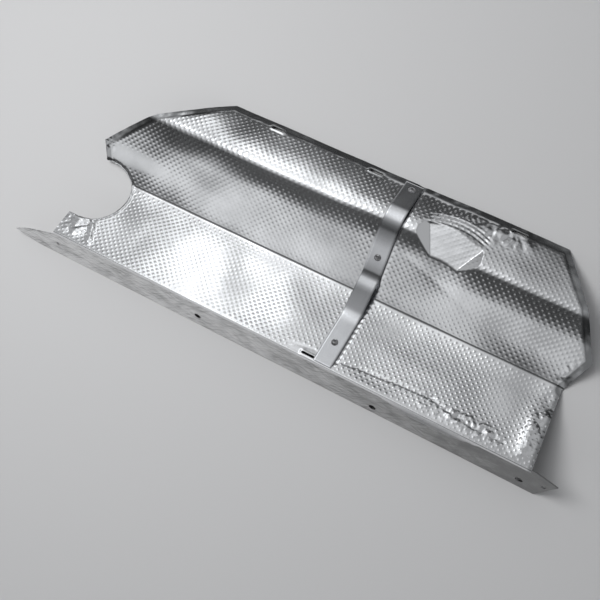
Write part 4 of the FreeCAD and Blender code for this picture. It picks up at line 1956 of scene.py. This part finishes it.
    def _ramp(self, board: NodeBoard, share: Socket, stops: list[Pair]) -> Socket:
        """Add a ramp of levels.

        Args:
            board: The world's nodes.
            share: Where along the ramp.
            stops: Places from 0 to 1, each with its level.

        Returns:
            The level's socket.
        """
        top = max(level for _, level in stops)
        ramp = board.add("ShaderNodeValToRGB", {"Fac": share})
        elements = ramp.color_ramp.elements
        while len(elements) < len(stops):
            elements.new(0.5)
        for element, (place, level) in zip(elements, stops):
            element.position = place
            element.color = (level / top, level / top, level / top, 1.0)
        return board.math("MULTIPLY", ramp.outputs["Color"], top)

    def _step(self, board: NodeBoard, share: Socket, marks: list[float]) -> Socket:
        """Add a step up and down, by where it starts to rise, is full, starts to fall and ends."""
        up = board.spread(share, marks[:2], (0.0, 1.0))
        return board.math("MULTIPLY", up, board.spread(share, marks[2:], (1.0, 0.0)))

    def _stand_camera(self) -> None:
        """Stand the camera where the picture was taken from."""
        data = bpy.data.cameras.new("camera")
        data.lens = self.lens
        data.sensor_width = self.sensor
        camera = bpy.data.objects.new("camera", data)
        bpy.context.scene.collection.objects.link(camera)
        back = (Vector(self.camera_place) - Vector(self.camera_aim)).normalized()
        up = Vector((math.cos(self.picture_up), math.sin(self.picture_up), 0.0))
        right = up.cross(back).normalized()
        turn = Matrix((right, back.cross(right), back)).transposed()
        camera.matrix_world = Matrix.Translation(self.camera_place) @ turn.to_4x4()
        bpy.context.scene.camera = camera


LEFT_RIDGE_SHIFT = 3.0 * MM
LEFT_CHANGE = mm(-18.0, -70.0)
RIGHT_RIDGE_SHIFT = 13.0 * MM
RIGHT_CHANGE = mm(62.0, 104.0)


def fit(obj: Piece, shift: Vector, finish: MetalFinish, slot: str, *nodes: str) -> None:
    """Move a finished piece into the frame, dress it and let it stand for its solids.

    Args:
        obj: The piece, in shop coordinates.
        shift: Where the shop's origin is in the frame.
        finish: The piece's finish.
        slot: The record's material slot; not used.
        nodes: The solids that the piece stands for.
    """
    obj.data.transform(Matrix.Translation(shift))
    obj.data.materials.clear()
    obj.data.materials.append(finish.material())
    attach(obj, BODY)
    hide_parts(*nodes)
    obj.data.calc_loop_triangles()
    log.info("%s: %d triangles", obj.name, len(obj.data.loop_triangles))


def main() -> None:
    """Build every piece, dress it and set up the studio."""
    logging.basicConfig(level=logging.INFO, format="%(name)s: %(message)s")
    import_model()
    strap_low, strap_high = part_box("cross_strap")
    rail_low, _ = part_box("mounting_rail")
    shift = Vector(((strap_low.x + strap_high.x) / 2, rail_low.y, 0.0))
    bpy.context.scene.view_settings.view_transform = "Standard"
    section = WaveSection(CREASED_VALLEY, CREASED_RIDGE)
    left = SideSection(section.with_ridge(CREASED_RIDGE, LEFT_RIDGE_SHIFT), *LEFT_CHANGE)
    right = SideSection(section.with_ridge(SHARP_RIDGE, RIGHT_RIDGE_SHIFT), *RIGHT_CHANGE)
    panel = ShieldPanel(section, (left, right)).build()
    fit(panel, shift, EMBOSSED, "embossed_sheet", "shield_panel")
    strap = CrossStrap(WaveSection(BRIDGED_VALLEY, ROUNDED_RIDGE)).build()
    fit(strap, shift, STRIP, "plain_strip", "cross_strap")
    rail = MountingRail(section).build()
    fit(rail, shift, RAIL, "rail_strip", "mounting_rail")
    for spot, rivet in BlindRivets(section).build().items():
        fit(rivet, shift, RIVET, "rivet", spot.value)
    Studio().build()


if __name__ == "__main__":
    main()
